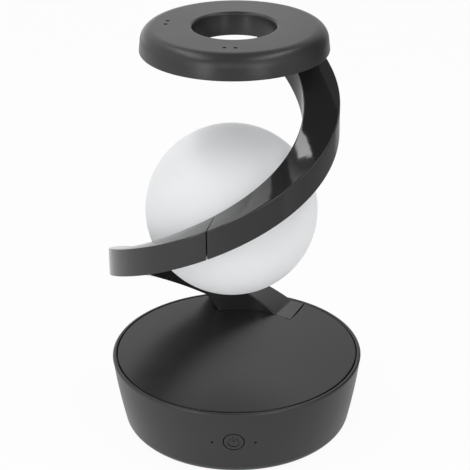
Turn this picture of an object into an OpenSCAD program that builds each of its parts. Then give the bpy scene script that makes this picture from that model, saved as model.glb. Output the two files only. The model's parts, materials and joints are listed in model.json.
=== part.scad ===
// Spiral table lamp: a round base, a hollow arm that climbs one turn to a flat ring, and a frosted globe
// that the arm carries at its equator. Millimetres, +Z up, origin on the table under the middle of the base.

/* [Base] */
// Radius of the base at its top edge
base_r = 62.5; // [58:0.5:70]
// Radius of the base at its foot
base_foot_r = 55.9; // [54:0.1:58]
// Height of the base housing
base_h = 37.5; // [36:0.5:44]
// Swell of the housing's side between its foot and its rim
base_swell = 0.6; // [0:0.1:1]
// Thickness of the housing wall
base_wall = 2.4; // [2:0.1:3]
// Radius of the rounded edge at the foot of the housing
base_edge_r = 6; // [4:0.5:6.5]
// Radius of the rim's rounded outer edge
rim_edge_r = 1; // [0.5:0.1:1]
// Radius of the rim's rounded edge at the groove
rim_inner_r = 0.8; // [0.3:0.1:0.9]
// Width of the rim around the lid
rim_w = 2; // [1.6:0.1:2.6]
// Open groove between rim and lid
lid_gap = 0.5; // [0.3:0.1:0.8]
// Thickness of the lid
lid_t = 3; // [2.5:0.1:4]
// Width of the ledge that carries the lid
lid_seat_w = 2.5; // [2:0.1:3]
// Height of the ledge that carries the lid
lid_seat_h = 2; // [1.5:0.1:3]
// Thickness of the bottom cover
cover_t = 2; // [1.6:0.1:3]
// Width of the flange that the bottom cover presses against
cover_seat_w = 3.6; // [3:0.1:5]
// Thickness of that flange
cover_seat_t = 1.4; // [1.2:0.1:2.5]
// Gap around covers that drop into a recess
cover_gap = 0.2; // [0.1:0.05:0.4]
// Flat ring between the housing's rounded foot and the bottom cover
cover_inset = 1; // [0.6:0.1:2]
// Height of the sloping corner inside the housing's foot
inner_corner_h = 3; // [2:0.1:4]
// Width of that corner
inner_corner_w = 2; // [1.5:0.1:2.5]

/* [Feet and base screws] */
// Radius of a rubber foot pad
pad_r = 5; // [3.5:0.1:5.5]
// Height of the pads below the housing
pad_h = 1; // [0.6:0.1:2]
// Depth of the pads in the bottom cover
pad_sink = 0.6; // [0.4:0.1:1]
// Distance of the pads from the edge of the bottom cover
pad_inset = 1.9; // [1:0.1:6]
// Radius of the lid's screw posts
post_r = 3.5; // [3:0.1:4]
// Gap between the posts' bosses and the flange that the bottom cover presses against
post_gap = 0.7; // [0.4:0.1:2]
// Angle of the first post, mirrored left and right and front to back
post_angle = 30; // [28:1:34]
// Height of the cover's screw bosses
cover_boss_h = 3; // [2.6:0.1:4]
// Depth of the pocket for a screw head in those bosses
base_head_pocket = 3; // [2.5:0.1:3.5]
// Wall of those bosses around the screw heads
screw_boss_wall = 1.8; // [1.4:0.1:2]
// Radius of the base screws' shank
base_screw_r = 1.45; // [1.2:0.05:1.6]
// Radius of the base screws' head
base_head_r = 2.8; // [2.4:0.1:3]
// Height of the base screws' head
base_head_h = 2; // [1.6:0.1:2.2]
// Length of the base screws' shank
base_screw_len = 12; // [10:0.5:16]

/* [Button and control board] */
// Height of the button's middle below the lid
button_drop = 16.7; // [16:0.1:19]
// Radius of the button hole
button_hole_r = 5.25; // [4.5:0.05:6]
// Gap around the button
button_gap = 0.4; // [0.3:0.05:0.5]
// Travel of the button
button_travel = 0.5; // [0.3:0.1:0.7]
// Depth of the sleeve that guides the button, from the face of the wall
sleeve_depth = 5; // [4.5:0.1:6]
// Wall of that sleeve
sleeve_wall = 1.8; // [1.5:0.1:2.2]
// Thickness of the button's flange
button_flange_t = 1.2; // [1:0.1:1.6]
// Radius of the button's stem
button_stem_r = 2; // [1.6:0.1:2.4]
// Length of the button's stem
button_stem_len = 1; // [0.8:0.1:2]
// Radius of the switch plunger
plunger_r = 1.75; // [1.4:0.05:2]
// Height of the plunger above the switch at rest
plunger_out = 0.8; // [0.75:0.05:1.2]
// Depth of the plunger in the switch at rest
plunger_in = 0.9; // [0.7:0.1:1.2]
// Side of the square switch
switch_w = 6; // [5.5:0.1:7]
// Height of the switch
switch_h = 3.5; // [3:0.1:4.5]
// Distance of each pinhole from the middle of the button
pinhole_x = 10.4; // [10:0.1:11]
// Height of the pinholes below the middle of the button
pinhole_drop = 1; // [0.5:0.1:2]
// Radius of the pinholes
pinhole_r = 0.6; // [0.4:0.05:0.8]
// Depth of the pinholes to the light pipes behind them
pinhole_depth = 1; // [0.8:0.1:1.4]
// Radius of a light pipe behind its pinhole
light_pipe_r = 1.2; // [1:0.1:1.5]
// Width of the control board
board_w = 36; // [35:0.5:38]
// Height of the control board
board_h = 18; // [16:0.5:20]
// Thickness of every circuit board
board_t = 1.6; // [1.2:0.1:2]
// Distance of the board's screws from its middle
board_screw_x = 15.2; // [15:0.1:15.6]
// Radius of the posts that carry the board
board_post_r = 2.4; // [2.2:0.1:2.6]
// Length of the board's screws
board_screw_len = 5; // [4:0.1:6]

/* [Power] */
// Radius of the battery cell
cell_r = 9.2; // [7:0.1:9.3]
// Length of the battery cell
cell_len = 65; // [50:0.5:66]
// Radius of the cell's cap
cell_cap_r = 3.3; // [2.5:0.1:4]
// Height of the cell's cap
cell_cap_h = 1; // [0.6:0.1:1.5]
// Place of the cell, front to back
cell_y = 1; // [-2:0.5:3]
// Distance of each cell saddle from the middle
saddle_x = 22; // [14:0.5:24]
// Width of a cell saddle
saddle_w = 4; // [3:0.1:6]
// Floor of a saddle under the cell
saddle_floor = 1; // [0.6:0.1:2]
// Wall of a saddle beside the cell
saddle_wall = 1; // [0.8:0.1:1.4]
// Height of the cell's middle above the saddles
saddle_dip = 2; // [1:0.1:4]
// Gap between the ballast plate and the screw bosses
ballast_gap = 3; // [1:0.1:6]
// Depth of the ballast plate
ballast_d = 18; // [14:0.5:19]
// Thickness of the ballast plate
ballast_t = 6; // [3:0.1:6.4]
// Front edge of the ballast plate
ballast_y = 15; // [14.8:0.1:16]
// Height of the inlet's middle above the housing's foot
inlet_z = 12; // [11:0.1:14]
// Width of the inlet's metal shell
inlet_w = 8.9; // [8.5:0.1:9.2]
// Height of the inlet's metal shell
inlet_h = 3.2; // [3:0.1:3.4]
// Length of the inlet's metal shell
inlet_len = 7.4; // [7:0.1:9]
// Wall of the inlet's metal shell
inlet_wall = 0.4; // [0.3:0.05:0.5]
// Gap between the shell and its slot in the housing
inlet_gap = 0.3; // [0.2:0.05:0.4]
// Depth of the shell's mouth behind the housing's face
inlet_recess = 0.8; // [0.4:0.1:1.2]
// Thickness of the shell's closed back
inlet_back = 1; // [0.6:0.1:1.4]
// Width of the tongue in the shell
inlet_tongue_w = 6.6; // [6:0.1:6.9]
// Thickness of the tongue in the shell
inlet_tongue_t = 0.7; // [0.5:0.05:0.8]
// Depth of the tongue's tip behind the shell's mouth
inlet_tongue_in = 1; // [0.6:0.1:1.4]
// Length of the shell that lies on its board
inlet_overlap = 4; // [3:0.1:5]
// Width of the inlet board
inlet_board_w = 20; // [18:0.5:24]
// Depth of the inlet board
inlet_board_d = 18; // [17:0.5:19]
// Distance of the inlet board's screws from its middle
inlet_screw_x = 6.5; // [5.5:0.1:7]
// Distance of those screws from the board's inner edge
inlet_screw_inset = 4; // [3:0.1:5]
// Length of the inlet board's screws
inlet_screw_len = 5; // [4:0.1:6]

/* [Small screws] */
// Radius of a small screw's shank
small_screw_r = 1; // [0.8:0.05:1.1]
// Radius of a small screw's head
small_head_r = 2; // [1.7:0.1:2.1]
// Height of a small screw's head
small_head_h = 1.1; // [0.9:0.1:1.2]
// Clearance of a screw in its hole, on the radius
screw_fit = 0.05; // [0.03:0.01:0.1]
// Gap around a sunk screw head
head_gap = 0.2; // [0.1:0.05:0.4]
// Free room past the tip of a screw
screw_room = 0.5; // [0.3:0.1:0.8]

/* [Arm] */
// Angle at which the flush foot of the arm begins, counted from the right-hand side
foot_start = 52; // [50:0.5:54]
// Slant of the foot's first edge, half of its difference in angle
foot_slant = 3; // [0:0.5:4]
// Extra gap at the outer end of the foot's first edge
notch_flare = 0.4; // [0:0.1:0.6]
// Angle at which the top of the arm leaves the lid
arm_start = 62; // [58:0.5:64]
// Angle at which the foot ends and the free underside begins
foot_end = 105; // [100:0.5:108]
// Angle over which the underside rises from the lid to the arm's full depth
undercut_sweep = 8; // [4:0.5:12]
// Angle at which the arm stands out furthest
belly_angle = 232; // [225:1:240]
// Angle of the seam between lower and upper arm
seam_angle = 259; // [256:0.5:262]
// Open groove at the seam
seam_gap = 0.5; // [0.3:0.1:0.8]
// Angle at which the top of the arm meets the ring
arm_end = 402; // [396:1:404]
// Angle that the arm's tail runs on under the ring
tail_sweep = 22; // [18:0.5:24]
// Outer radius of the arm where it stands out furthest
belly_r = 62.5; // [61.5:0.1:64]
// Outer radius of the arm where it meets the ring
arm_tip_r = 43; // [42:0.1:43.6]
// Width of the arm at its foot
arm_foot_w = 18.9; // [17.6:0.1:19.4]
// Width of the arm at the ring
arm_tip_w = 16.9; // [16:0.1:17.5]
// Depth of the arm from its top face to its underside
arm_h = 14.3; // [13.6:0.1:16]
// Share by which the climb slackens towards the ring
climb_slack = 0.04; // [0:0.01:0.08]
// Bend of the arm's way in from the belly to the ring, 1 is even
draw_in = 1.18; // [1:0.02:1.3]
// Wall of the hollow arm
arm_wall = 2; // [1.6:0.1:2.2]
// Thickness of the strips that close the arm from below
strip_t = 1.6; // [1.2:0.1:1.8]
// Gap around those strips
strip_gap = 0.15; // [0.1:0.05:0.3]
// Angle that the inner tongue reaches to each side of the seam
tongue_reach = 10; // [8:0.5:11]
// Gap around the inner tongue
tongue_gap = 0.2; // [0.1:0.05:0.4]
// Gap between the tongue and the wire
tongue_wire_gap = 1; // [0.5:0.1:1.5]
// Height of the tongue's screws above the middle of the arm
tongue_screw_up = 1; // [0:0.1:1.5]
// Length of the tongue's screws
tongue_screw_len = 6; // [5:0.1:6.5]
// Thickness of the plate that clamps the foot under the lid
foot_plate_t = 2; // [1.5:0.1:2.5]
// Reach of that plate past the foot, in degrees
foot_plate_reach = 9; // [8:0.5:10]
// Reach of that plate past the foot towards the middle
foot_plate_lip = 3; // [2:0.1:4]
// Angles between which the plate lets the wire through
wire_window_angles = [69, 85];
// Gap between the wire and the edge of that window
wire_window_gap = 1; // [0.5:0.1:1.5]
// Angle between the foot's edges and the screws in the lid
lid_screw_reach = 4; // [3.5:0.1:4.5]
// Skin of the lid over its blind screw holes
lid_skin = 0.8; // [0.6:0.1:1.2]
// Length of the foot's screws in the arm
foot_screw_grip = 3; // [2.5:0.1:4]
// Gap between the foot's screw bosses and the arm's inner wall
foot_boss_gap = 1; // [0.5:0.1:1.5]
// Angles of the two screws in the foot
foot_screw_angles = [72, 97];
// Radius of the screw bosses inside the arm
arm_boss_r = 3; // [2.6:0.1:3.2]
// Radius of the wire in the arm
wire_r = 1.3; // [0.8:0.1:1.4]
// Distance of the wire's middle from the arm's outer wall
wire_lane = 2.6; // [2.2:0.1:3]
// Angle at which the wire meets its connector in the base
wire_start = 65; // [64:0.5:66]
// Angle by which the wire stops short of the ring
wire_short = 2; // [0:0.5:6]
// Side of the wire's connector
connector_w = 5; // [4:0.1:5.5]
// Gap between the connector and the housing's wall
connector_gap = 1; // [0.6:0.1:1.5]

/* [Ring] */
// Height of the ring's underside above the lid
ring_rise = 159.4; // [150:0.2:170]
// Height of the ring
ring_h = 11.3; // [10:0.1:13]
// Outer radius of the ring at its underside
ring_r = 44.2; // [42.8:0.1:46]
// Radius of the hole in the ring
ring_hole_r = 19.5; // [17:0.1:20.5]
// Wall of the hollow ring
ring_wall = 2.2; // [1.8:0.1:2.5]
// Radius of the ring's rounded outer edge
ring_round = 6.5; // [5:0.1:7]
// Amount that the ring's outer wall leans in
ring_lean = 0.5; // [0:0.1:1.2]
// Radius of the rounded edge of the hole
hole_edge_r = 1.4; // [0.5:0.1:1.8]
// Thickness of the plate that closes the ring from below
ring_cover_t = 2; // [1.8:0.1:2.4]
// Angles of the two pairs of pinholes
ring_pair_angles = [173, 268];
// Distance of the pinhole pairs from the middle
ring_pair_r = 31.6; // [29.5:0.1:33]
// Distance between the two pinholes of a pair
ring_pair_pitch = 4.9; // [4:0.1:6]
// Radius of the ring's pinholes
ring_pinhole_r = 0.85; // [0.5:0.05:1.1]
// Angles of the screws that hold the ring's plate
ring_screw_angles = [120, 220, 320];
// Distance of those screws from the middle
ring_screw_r = 32; // [29:0.5:34]
// Length of the small screws in the ring
ring_screw_len = 5; // [4:0.1:5.4]
// Angles of the screws in the arm's tail, counted from where the arm meets the ring
tail_screw_offsets = [4, 15];
// Radius of the screw bosses in the ring
ring_boss_r = 2.8; // [2.4:0.1:3.2]
// Depth of a sensor board in the ring
ring_board_d = 7; // [6:0.5:8]
// Distance of the sensor boards below the ring's top wall
ring_board_drop = 2; // [1.5:0.1:2.4]
// Radius of the posts that carry the sensor boards
standoff_r = 1.2; // [1:0.1:1.4]
// Distance of those posts from the ends of the boards
standoff_inset = 1.5; // [1.2:0.1:2]
// Gap between those posts and the sensor chips
standoff_gap = 0.3; // [0.1:0.05:0.6]
// Side of a sensor chip
chip_w = 1.6; // [1.2:0.1:2]
// Height of a sensor chip
chip_h = 0.8; // [0.5:0.1:1.2]

/* [Globe] */
// Gap between the globe and the arm's inner wall
globe_gap = 2.33; // [2.2:0.01:6]
// Wall of the globe
globe_wall = 2; // [1.5:0.1:2.5]
// Place of the globe's middle, left and right
globe_x = -2; // [-3:0.1:0]
// Place of the globe's middle, front to back
globe_y = 1; // [0:0.1:2]
// Angle at which the arm holds the globe
mount_angle = 241; // [238:0.5:243]
// Distance of the globe's middle below the middle of the arm there
globe_drop = 0.9; // [0:0.1:1.2]
// Radius of the globe's hole
globe_hole_r = 4.6; // [4.4:0.1:4.8]
// Gap between the collar and the globe
collar_gap = 0.15; // [0.1:0.05:0.3]
// Radius of the collar's flange
collar_flange_r = 5.6; // [5.2:0.1:6]
// Height of the pad on the arm's wall that the collar's flange seats on
collar_stand_off = 1.2; // [1:0.05:1.4]
// Height of the pad inside the arm that the nut seats on
nut_pad = 0.8; // [0.6:0.1:1.2]
// Thickness of the collar's snap lip inside the globe
collar_lip_t = 1.2; // [0.8:0.1:2]
// Overhang of that lip
collar_lip_w = 0.4; // [0.2:0.05:0.6]
// Radius of the collar's neck
neck_r = 2.4; // [2:0.1:2.6]
// Radius of the wire bore in the collar
neck_bore_r = 1.2; // [0.8:0.1:1.4]
// Radius of the nut over its corners
nut_r = 3.8; // [3.4:0.1:4]
// Thickness of the nut
nut_t = 3; // [2:0.1:4]
// Length of the neck past the nut
neck_past_nut = 0.5; // [0.2:0.1:1]
// Radius of the lamp post inside the globe
led_post_r = 3.6; // [3:0.1:4]
// Distance of the light source from the globe's middle
led_off = 10; // [6:0.5:20]
// Radius of the light source's board
led_board_r = 4.2; // [4:0.1:4.3]
// Thickness of the light source's board
led_board_t = 1.2; // [1:0.1:2]
// Side of a light chip
led_chip_w = 1.8; // [1.2:0.1:2]
// Distance of the light chips from the board's middle
led_chip_circle = 2.4; // [2.2:0.1:2.6]

/* [Hidden] */
$fn = 96;
// Small overlap that keeps cuts clean
eps = 0.01;
// Degrees between the arm's sections
arm_step = 4;
// Degrees in which the end of the foot steps up over the lid
foot_step = 0.2;
// Points on a rounded edge
arc_steps = 8;
// Length by which a cut reaches past what it cuts
cut_over = 1;

base_z = pad_h;
lid_z = base_z + base_h;
lid_under_z = lid_z - lid_t;
cover_top_z = base_z + cover_t;
lid_r = base_r - rim_w - lid_gap;
seat_r = lid_r - lid_seat_w;
cover_r = base_foot_r - base_edge_r - cover_inset;
flange_r = cover_r - cover_seat_w;
boss_top_z = cover_top_z + cover_boss_h;
screw_boss_r = base_head_r + screw_boss_wall;
post_circle_r = flange_r - screw_boss_r - post_gap;
pad_circle_r = cover_r - pad_r - pad_inset;
ballast_w = 2 * (post_circle_r * cos(post_angle) - screw_boss_r - ballast_gap);
post_angles = [post_angle, 180 - post_angle, 180 + post_angle, 360 - post_angle];
pad_angles = [0, 90, 180, 270];

button_z = lid_z - button_drop;
button_y = -side_r(button_z);
wall_tilt = side_tilt(button_z);
button_r = button_hole_r - button_gap;
button_flange_z = sleeve_depth + button_gap;
button_stem_z = button_flange_z + button_flange_t;
plunger_z = button_stem_z + button_stem_len;
switch_z = plunger_z + plunger_out;
board_z = switch_z + switch_h;

cell_z = cover_top_z + saddle_floor + cell_r + cover_gap;
inlet_mid_z = base_z + inlet_z;
inlet_y = side_r(inlet_mid_z) - inlet_recess;
inlet_board_z = inlet_mid_z - inlet_h / 2 - board_t;
inlet_board_y = inlet_y - inlet_len + inlet_overlap;
inlet_screw_y = inlet_board_y - inlet_board_d + inlet_screw_inset;

arm_tail = arm_end + tail_sweep;
wire_end = arm_end - wire_short;
tail_screw_angles = [for (a = tail_screw_offsets) arm_end + a];
ring_z = lid_z + ring_rise;
ring_top_z = ring_z + ring_h;
standoff_y = ring_pair_pitch / 2 + chip_w / 2 + standoff_gap + standoff_r;
ring_board_w = 2 * (standoff_y + standoff_inset);
foot_screw_r = lid_r - arm_foot_w + arm_wall + arm_boss_r + foot_boss_gap;
foot_plate_z = lid_under_z - foot_plate_t;
foot_screw_len = foot_plate_t + foot_screw_grip;
lid_screw_depth = lid_t - lid_skin;
lid_screw_angles = [foot_start - foot_slant - lid_screw_reach, foot_end + lid_screw_reach];

globe_z = (arm_top(mount_angle) + arm_low(mount_angle)) / 2 - globe_drop;
globe_place = [globe_x, globe_y, globe_z];
mount_way = arm_in(mount_angle) * [cos(mount_angle), sin(mount_angle)] - [globe_x, globe_y];
mount_turn = atan2(mount_way[1], mount_way[0]);
wall_dist = norm(mount_way);
globe_r = wall_dist - globe_gap;
collar_seat = sqrt(globe_r * globe_r - globe_hole_r * globe_hole_r) + collar_gap;
collar_face = wall_dist - collar_stand_off;
lip_top = sqrt(pow(globe_r - globe_wall, 2) - pow(globe_hole_r + collar_lip_w, 2)) - collar_gap;
lip_end = lip_top - collar_lip_t;
nut_dist = wall_dist + arm_wall + nut_pad;
neck_end = nut_dist + nut_t + neck_past_nut;

// Outer radius of the base's gently swelling side at a height, and its tilt there
function side_r(z) = let (s = (z - base_z) / base_h)
  base_foot_r + (base_r - base_foot_r) * s + base_swell * 4 * s * (1 - s);
function side_tilt(z) = let (s = (z - base_z) / base_h)
  atan((base_r - base_foot_r + base_swell * 4 * (1 - 2 * s)) / base_h);

// Points on an arc in a flat outline
function arc(centre, r, from, to) = [for (i = [0 : arc_steps])
  let (a = from + (to - from) * i / arc_steps) centre + r * [cos(a), sin(a)]];

// Share of the climb from the lid to the ring
function climb(a) = (a - arm_start) / (arm_end - arm_start);

// Height of the climbing line, which runs on past the ring
function helix(a) = let (t = climb(a)) lid_z + ring_rise * ((1 + climb_slack) * t - climb_slack * t * t);

// Top face of the arm: flush with the lid at first, then climbing, then flat under the ring
function arm_top(a) = min(ring_z, max(lid_z, helix(a)));

// Underside of the free arm
function arm_low(a) = helix(a) - arm_h;

// Underside of the whole arm: the foot goes through the lid, then the undercut rises from it
function arm_foot_low(a) = let (u = (a - foot_end) / undercut_sweep, from = lid_z + cover_gap)
  a <= foot_end ? lid_under_z : u < 1 ? from + (arm_low(foot_end + undercut_sweep) - from) * u : arm_low(a);

// Outer radius of the arm: the lid's at the foot, out to the belly, then in to the ring
function arm_out(a) = a <= foot_end ? lid_r
  : a < belly_angle ? belly_r - (belly_r - lid_r) * pow((belly_angle - a) / (belly_angle - foot_end), 2)
  : belly_r - (belly_r - arm_tip_r) * pow((a - belly_angle) / (arm_end - belly_angle), draw_in);

function arm_width(a) = arm_foot_w + (arm_tip_w - arm_foot_w) * (a - foot_start) / (arm_end - foot_start);
function arm_in(a) = arm_out(a) - arm_width(a);
function arm_mid(a) = arm_out(a) - arm_width(a) / 2;

// Slant of a section near the foot's first edge
function slant(a) = foot_slant * max(0, 1 - (a - foot_start) / (arm_start - foot_start));

// A point of the arm's section at an angle
function spot(a, r, z) = let (side = 2 * (r - arm_in(a)) / arm_width(a) - 1, b = a + slant(a) * side)
  [r * cos(b), r * sin(b), z];

// Hollow section, open below, and a solid section
function channel(a, low) = let (o = arm_out(a), i = arm_in(a), t = arm_wall, top = arm_top(a)) [
  spot(a, o, low), spot(a, o, top), spot(a, i, top), spot(a, i, low),
  spot(a, i + t, low), spot(a, i + t, top - t), spot(a, o - t, top - t), spot(a, o - t, low)];
function bar(a, r0, r1, z0, z1) = [spot(a, r1, z0), spot(a, r1, z1), spot(a, r0, z1), spot(a, r0, z0)];
channel_caps = [[0, 1, 6], [0, 6, 7], [1, 2, 5], [1, 5, 6], [2, 3, 4], [2, 4, 5]];
bar_caps = [[0, 1, 2], [0, 2, 3]];

// Even angles from one to another
function angles(from, to) = let (n = ceil((to - from) / arm_step))
  [for (i = [0 : n]) from + (to - from) * i / n];

// Half of the seam's groove as an angle
seam_half = asin(seam_gap / 2 / arm_mid(seam_angle));
lower_angles = concat(angles(foot_start, arm_start), angles(arm_start + arm_step / 2, foot_end),
  angles(foot_end + foot_step, foot_end + undercut_sweep),
  angles(foot_end + undercut_sweep + arm_step / 2, seam_angle - seam_half));
upper_angles = concat(angles(seam_angle + seam_half, arm_end), angles(arm_end + arm_step / 2, arm_tail));

// A solid through a list of rings with the same number of points
module sweep(rings, caps) {
  n = len(rings[0]);
  last = (len(rings) - 1) * n;
  sides = [for (i = [0 : len(rings) - 2]) for (j = [0 : n - 1])
    let (a = i * n + j, b = i * n + (j + 1) % n) each [[a, b, b + n], [a, b + n, a + n]]];
  first_cap = [for (c = caps) [c[2], c[1], c[0]]];
  last_cap = [for (c = caps) [for (v = c) v + last]];
  polyhedron([for (r = rings) each r], concat(sides, first_cap, last_cap));
}

// A flat sector of a ring
module sector(r0, r1, z0, z1, from, to) {
  rotate([0, 0, from])
    rotate_extrude(angle = to - from)
      translate([r0, z0])
        square([r1 - r0, z1 - z0]);
}

// Children at an angle and a distance from the middle
module at_angle(a, r, z = 0) {
  rotate([0, 0, a])
    translate([r, 0, z])
      children();
}

// Children on the button's line: z runs inwards from the face of the wall
module at_button() {
  translate([0, button_y, button_z])
    rotate([wall_tilt - 90, 0, 0])
      children();
}

// Children on the globe's line: z runs from the globe's middle out to the arm
module at_mount() {
  translate(globe_place)
    rotate([0, 0, mount_turn])
      rotate([0, 90, 0])
        children();
}

// Children on a line through the arm's inner wall: z runs outwards
module at_inner_wall(a) {
  translate([0, 0, (arm_top(a) + arm_low(a)) / 2 + tongue_screw_up])
    rotate([0, 0, a])
      translate([arm_in(a), 0, 0])
        rotate([0, 90, 0])
          children();
}

// A screw that points up, with the underside of its head at z = 0
module screw(r, head_r, head_h, length) {
  translate([0, 0, -eps])
    cylinder(r = r, h = length + eps);
  translate([0, 0, -head_h])
    cylinder(r = head_r, h = head_h);
}

module small_screw(length) {
  screw(small_screw_r, small_head_r, small_head_h, length);
}

// Solid outline of the base, also used to trim the button flush
module base_outline() {
  low_tilt = side_tilt(base_z);
  edge_x = base_foot_r - base_edge_r * tan((90 - low_tilt) / 2);
  edge = arc([edge_x, base_z + base_edge_r], base_edge_r, -90, -low_tilt);
  from = edge[arc_steps][1];
  to = lid_z - 2 * rim_edge_r;
  side = [for (i = [1 : arc_steps]) let (z = from + (to - from) * i / arc_steps) [side_r(z), z]];
  rim = arc([base_r - rim_edge_r, lid_z - rim_edge_r], rim_edge_r, 0, 90);
  polygon(concat([[0, base_z]], edge, side, rim, [[0, lid_z]]));
}

module base_housing() {
  wall_low_z = cover_top_z + cover_seat_t;
  corner_z = wall_low_z + inner_corner_h;
  groove_r = lid_r + lid_gap;
  ledge_z = lid_under_z - lid_seat_h;
  ledge_back_z = ledge_z - (side_r(ledge_z) - base_wall - seat_r);
  color("#2c2d2f")
    difference() {
      union() {
        rotate_extrude()
          difference() {
            base_outline();
            polygon([
              [0, base_z - eps], [cover_r + cover_gap, base_z - eps],
              [cover_r + cover_gap, cover_top_z], [flange_r, cover_top_z], [flange_r, wall_low_z],
              [side_r(wall_low_z) - base_wall - inner_corner_w, wall_low_z],
              [side_r(corner_z) - base_wall, corner_z],
              [side_r(ledge_back_z) - base_wall, ledge_back_z], [seat_r, ledge_z], [seat_r, lid_under_z],
              [groove_r, lid_under_z],
              each arc([groove_r + rim_inner_r, lid_z - rim_inner_r], rim_inner_r, 180, 90),
              [groove_r + rim_inner_r, lid_z + eps], [0, lid_z + eps]]);
          }
        intersection() {
          at_button()
            button_supports();
          rotate_extrude()
            base_outline();
        }
      }
      at_button() {
        translate([0, 0, -base_wall])
          cylinder(r = button_hole_r, h = base_wall + sleeve_depth + eps);
        for (side = [-1, 1]) {
          translate([side * pinhole_x, pinhole_drop, -base_wall])
            cylinder(r = pinhole_r, h = 3 * base_wall, $fn = 32);
          translate([side * pinhole_x, pinhole_drop, pipe_seat()])
            cylinder(r = light_pipe_r + cover_gap, h = sleeve_depth, $fn = 32);
          translate([side * board_screw_x, 0, board_z - board_screw_len + board_t])
            cylinder(r = small_screw_r + screw_fit, h = board_screw_len, $fn = 32);
        }
      }
      inlet_slot();
    }
}

// Depth at which the light pipes meet the inside of the wall
function pipe_seat() = pinhole_depth + pinhole_x * pinhole_x / 2 / abs(button_y);

// Sleeve for the button and posts for the control board, on the inside of the front wall
module button_supports() {
  cylinder(r = button_hole_r + sleeve_wall, h = sleeve_depth);
  for (side = [-1, 1])
    translate([side * board_screw_x, 0, 0])
      cylinder(r = board_post_r, h = board_z, $fn = 48);
}

module inlet_slot() {
  w = inlet_w + 2 * inlet_gap;
  h = inlet_h + 2 * inlet_gap;
  translate([0, inlet_y - inlet_len, inlet_mid_z])
    rotate([-90, 0, 0])
      linear_extrude(2 * inlet_len)
        stadium(w, h);
}

// Flat outline with round ends
module stadium(w, h) {
  square([w - h, h], center = true);
  for (side = [-1, 1])
    translate([side * (w - h) / 2, 0])
      circle(d = h);
}

// Opening in the lid for the foot of the arm
module foot_notch() {
  stations = angles(foot_start, foot_end + foot_step);
  inner = arm_in(foot_start);
  first_edge = [lid_r + cut_over, lid_r, lid_r - arm_wall, inner + arm_wall, inner, inner - cover_gap];
  last_edge = [arm_in(foot_end) - cover_gap, lid_r + cut_over];
  translate([0, 0, lid_under_z - eps])
    linear_extrude(lid_t + 2 * eps)
      polygon(concat(
        [for (r = first_edge) turned(spot(foot_start, r, 0), -first_gap(r))],
        [for (a = stations) turned(spot(a, arm_in(a) - cover_gap, 0), 0)],
        [for (r = last_edge) turned(spot(foot_end + foot_step, r, 0), cover_gap)],
        [for (a = [foot_end : -arm_step : foot_start + arm_step])
          (lid_r + 2 * cut_over) * [cos(a), sin(a)]]));
}

// Gap between lid and foot along the foot's first edge, which widens outwards
function first_gap(r) = let (inner = arm_in(foot_start))
  cover_gap + notch_flare * max(0, r - inner) / (lid_r - inner);

// A flat point moved sideways around the middle by a distance
function turned(p, d) = let (r = norm([p[0], p[1]]), a = atan2(p[1], p[0]) + asin(d / r))
  r * [cos(a), sin(a)];

module base_lid() {
  color("#3a3b3d")
    difference() {
      union() {
        translate([0, 0, lid_under_z])
          cylinder(r = lid_r, h = lid_t);
        for (a = post_angles)
          at_angle(a, post_circle_r, boss_top_z)
            cylinder(r = post_r, h = lid_under_z - boss_top_z + eps, $fn = 48);
      }
      foot_notch();
      for (a = post_angles)
        at_angle(a, post_circle_r, boss_top_z - eps)
          cylinder(r = base_screw_r + screw_fit, h = base_screw_len, $fn = 48);
      for (a = lid_screw_angles)
        at_angle(a, foot_screw_r, lid_under_z - eps)
          cylinder(r = small_screw_r + screw_fit, h = lid_screw_depth, $fn = 32);
    }
}

module bottom_cover() {
  color("#232426")
    difference() {
      union() {
        translate([0, 0, base_z])
          cylinder(r = cover_r, h = cover_t);
        for (a = post_angles)
          at_angle(a, post_circle_r, base_z)
            cylinder(r = screw_boss_r, h = boss_top_z - base_z, $fn = 48);
        for (side = [-1, 1]) {
          cell_saddle(side * saddle_x);
          translate([side * inlet_screw_x, inlet_screw_y, base_z])
            cylinder(r = board_post_r, h = inlet_board_z - base_z, $fn = 48);
        }
      }
      for (a = post_angles)
        at_angle(a, post_circle_r, base_z - eps) {
          cylinder(r = base_head_r + head_gap, h = base_head_pocket + eps, $fn = 48);
          cylinder(r = base_screw_r + screw_fit, h = base_head_pocket + cover_boss_h, $fn = 48);
        }
      for (a = pad_angles)
        at_angle(a, pad_circle_r, base_z - eps)
          cylinder(r = pad_r + cover_gap, h = pad_sink + eps, $fn = 64);
      for (side = [-1, 1])
        translate([side * inlet_screw_x, inlet_screw_y, inlet_board_z + board_t - inlet_screw_len - eps])
          cylinder(r = small_screw_r + screw_fit, h = inlet_screw_len + 2 * eps, $fn = 32);
    }
}

// Rib with a round seat for the battery cell
module cell_saddle(x) {
  translate([x - saddle_w / 2, 0, 0])
    difference() {
      translate([0, cell_y - cell_r - saddle_wall, base_z])
        cube([saddle_w, 2 * (cell_r + saddle_wall), cell_z - base_z - saddle_dip]);
      translate([-eps, cell_y, cell_z])
        rotate([0, 90, 0])
          cylinder(r = cell_r + cover_gap, h = saddle_w + 2 * eps);
    }
}

module foot_pads() {
  color("#1a1a1b")
    for (a = pad_angles)
      at_angle(a, pad_circle_r)
        cylinder(r = pad_r, h = pad_h + pad_sink, $fn = 64);
}

module bottom_screws() {
  color("silver")
    for (a = post_angles)
      at_angle(a, post_circle_r, base_z + base_head_pocket)
        screw(base_screw_r, base_head_r, base_head_h, base_screw_len, $fn = 48);
}

module ballast_plate() {
  color("dimgray")
    translate([-ballast_w / 2, ballast_y, cover_top_z])
      cube([ballast_w, ballast_d, ballast_t]);
}

module battery_cell() {
  color("seagreen")
    translate([-cell_len / 2, cell_y, cell_z])
      rotate([0, 90, 0]) {
        cylinder(r = cell_r, h = cell_len - cell_cap_h);
        translate([0, 0, cell_len - cell_cap_h - eps])
          cylinder(r = cell_cap_r, h = cell_cap_h, $fn = 48);
      }
}

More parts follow.
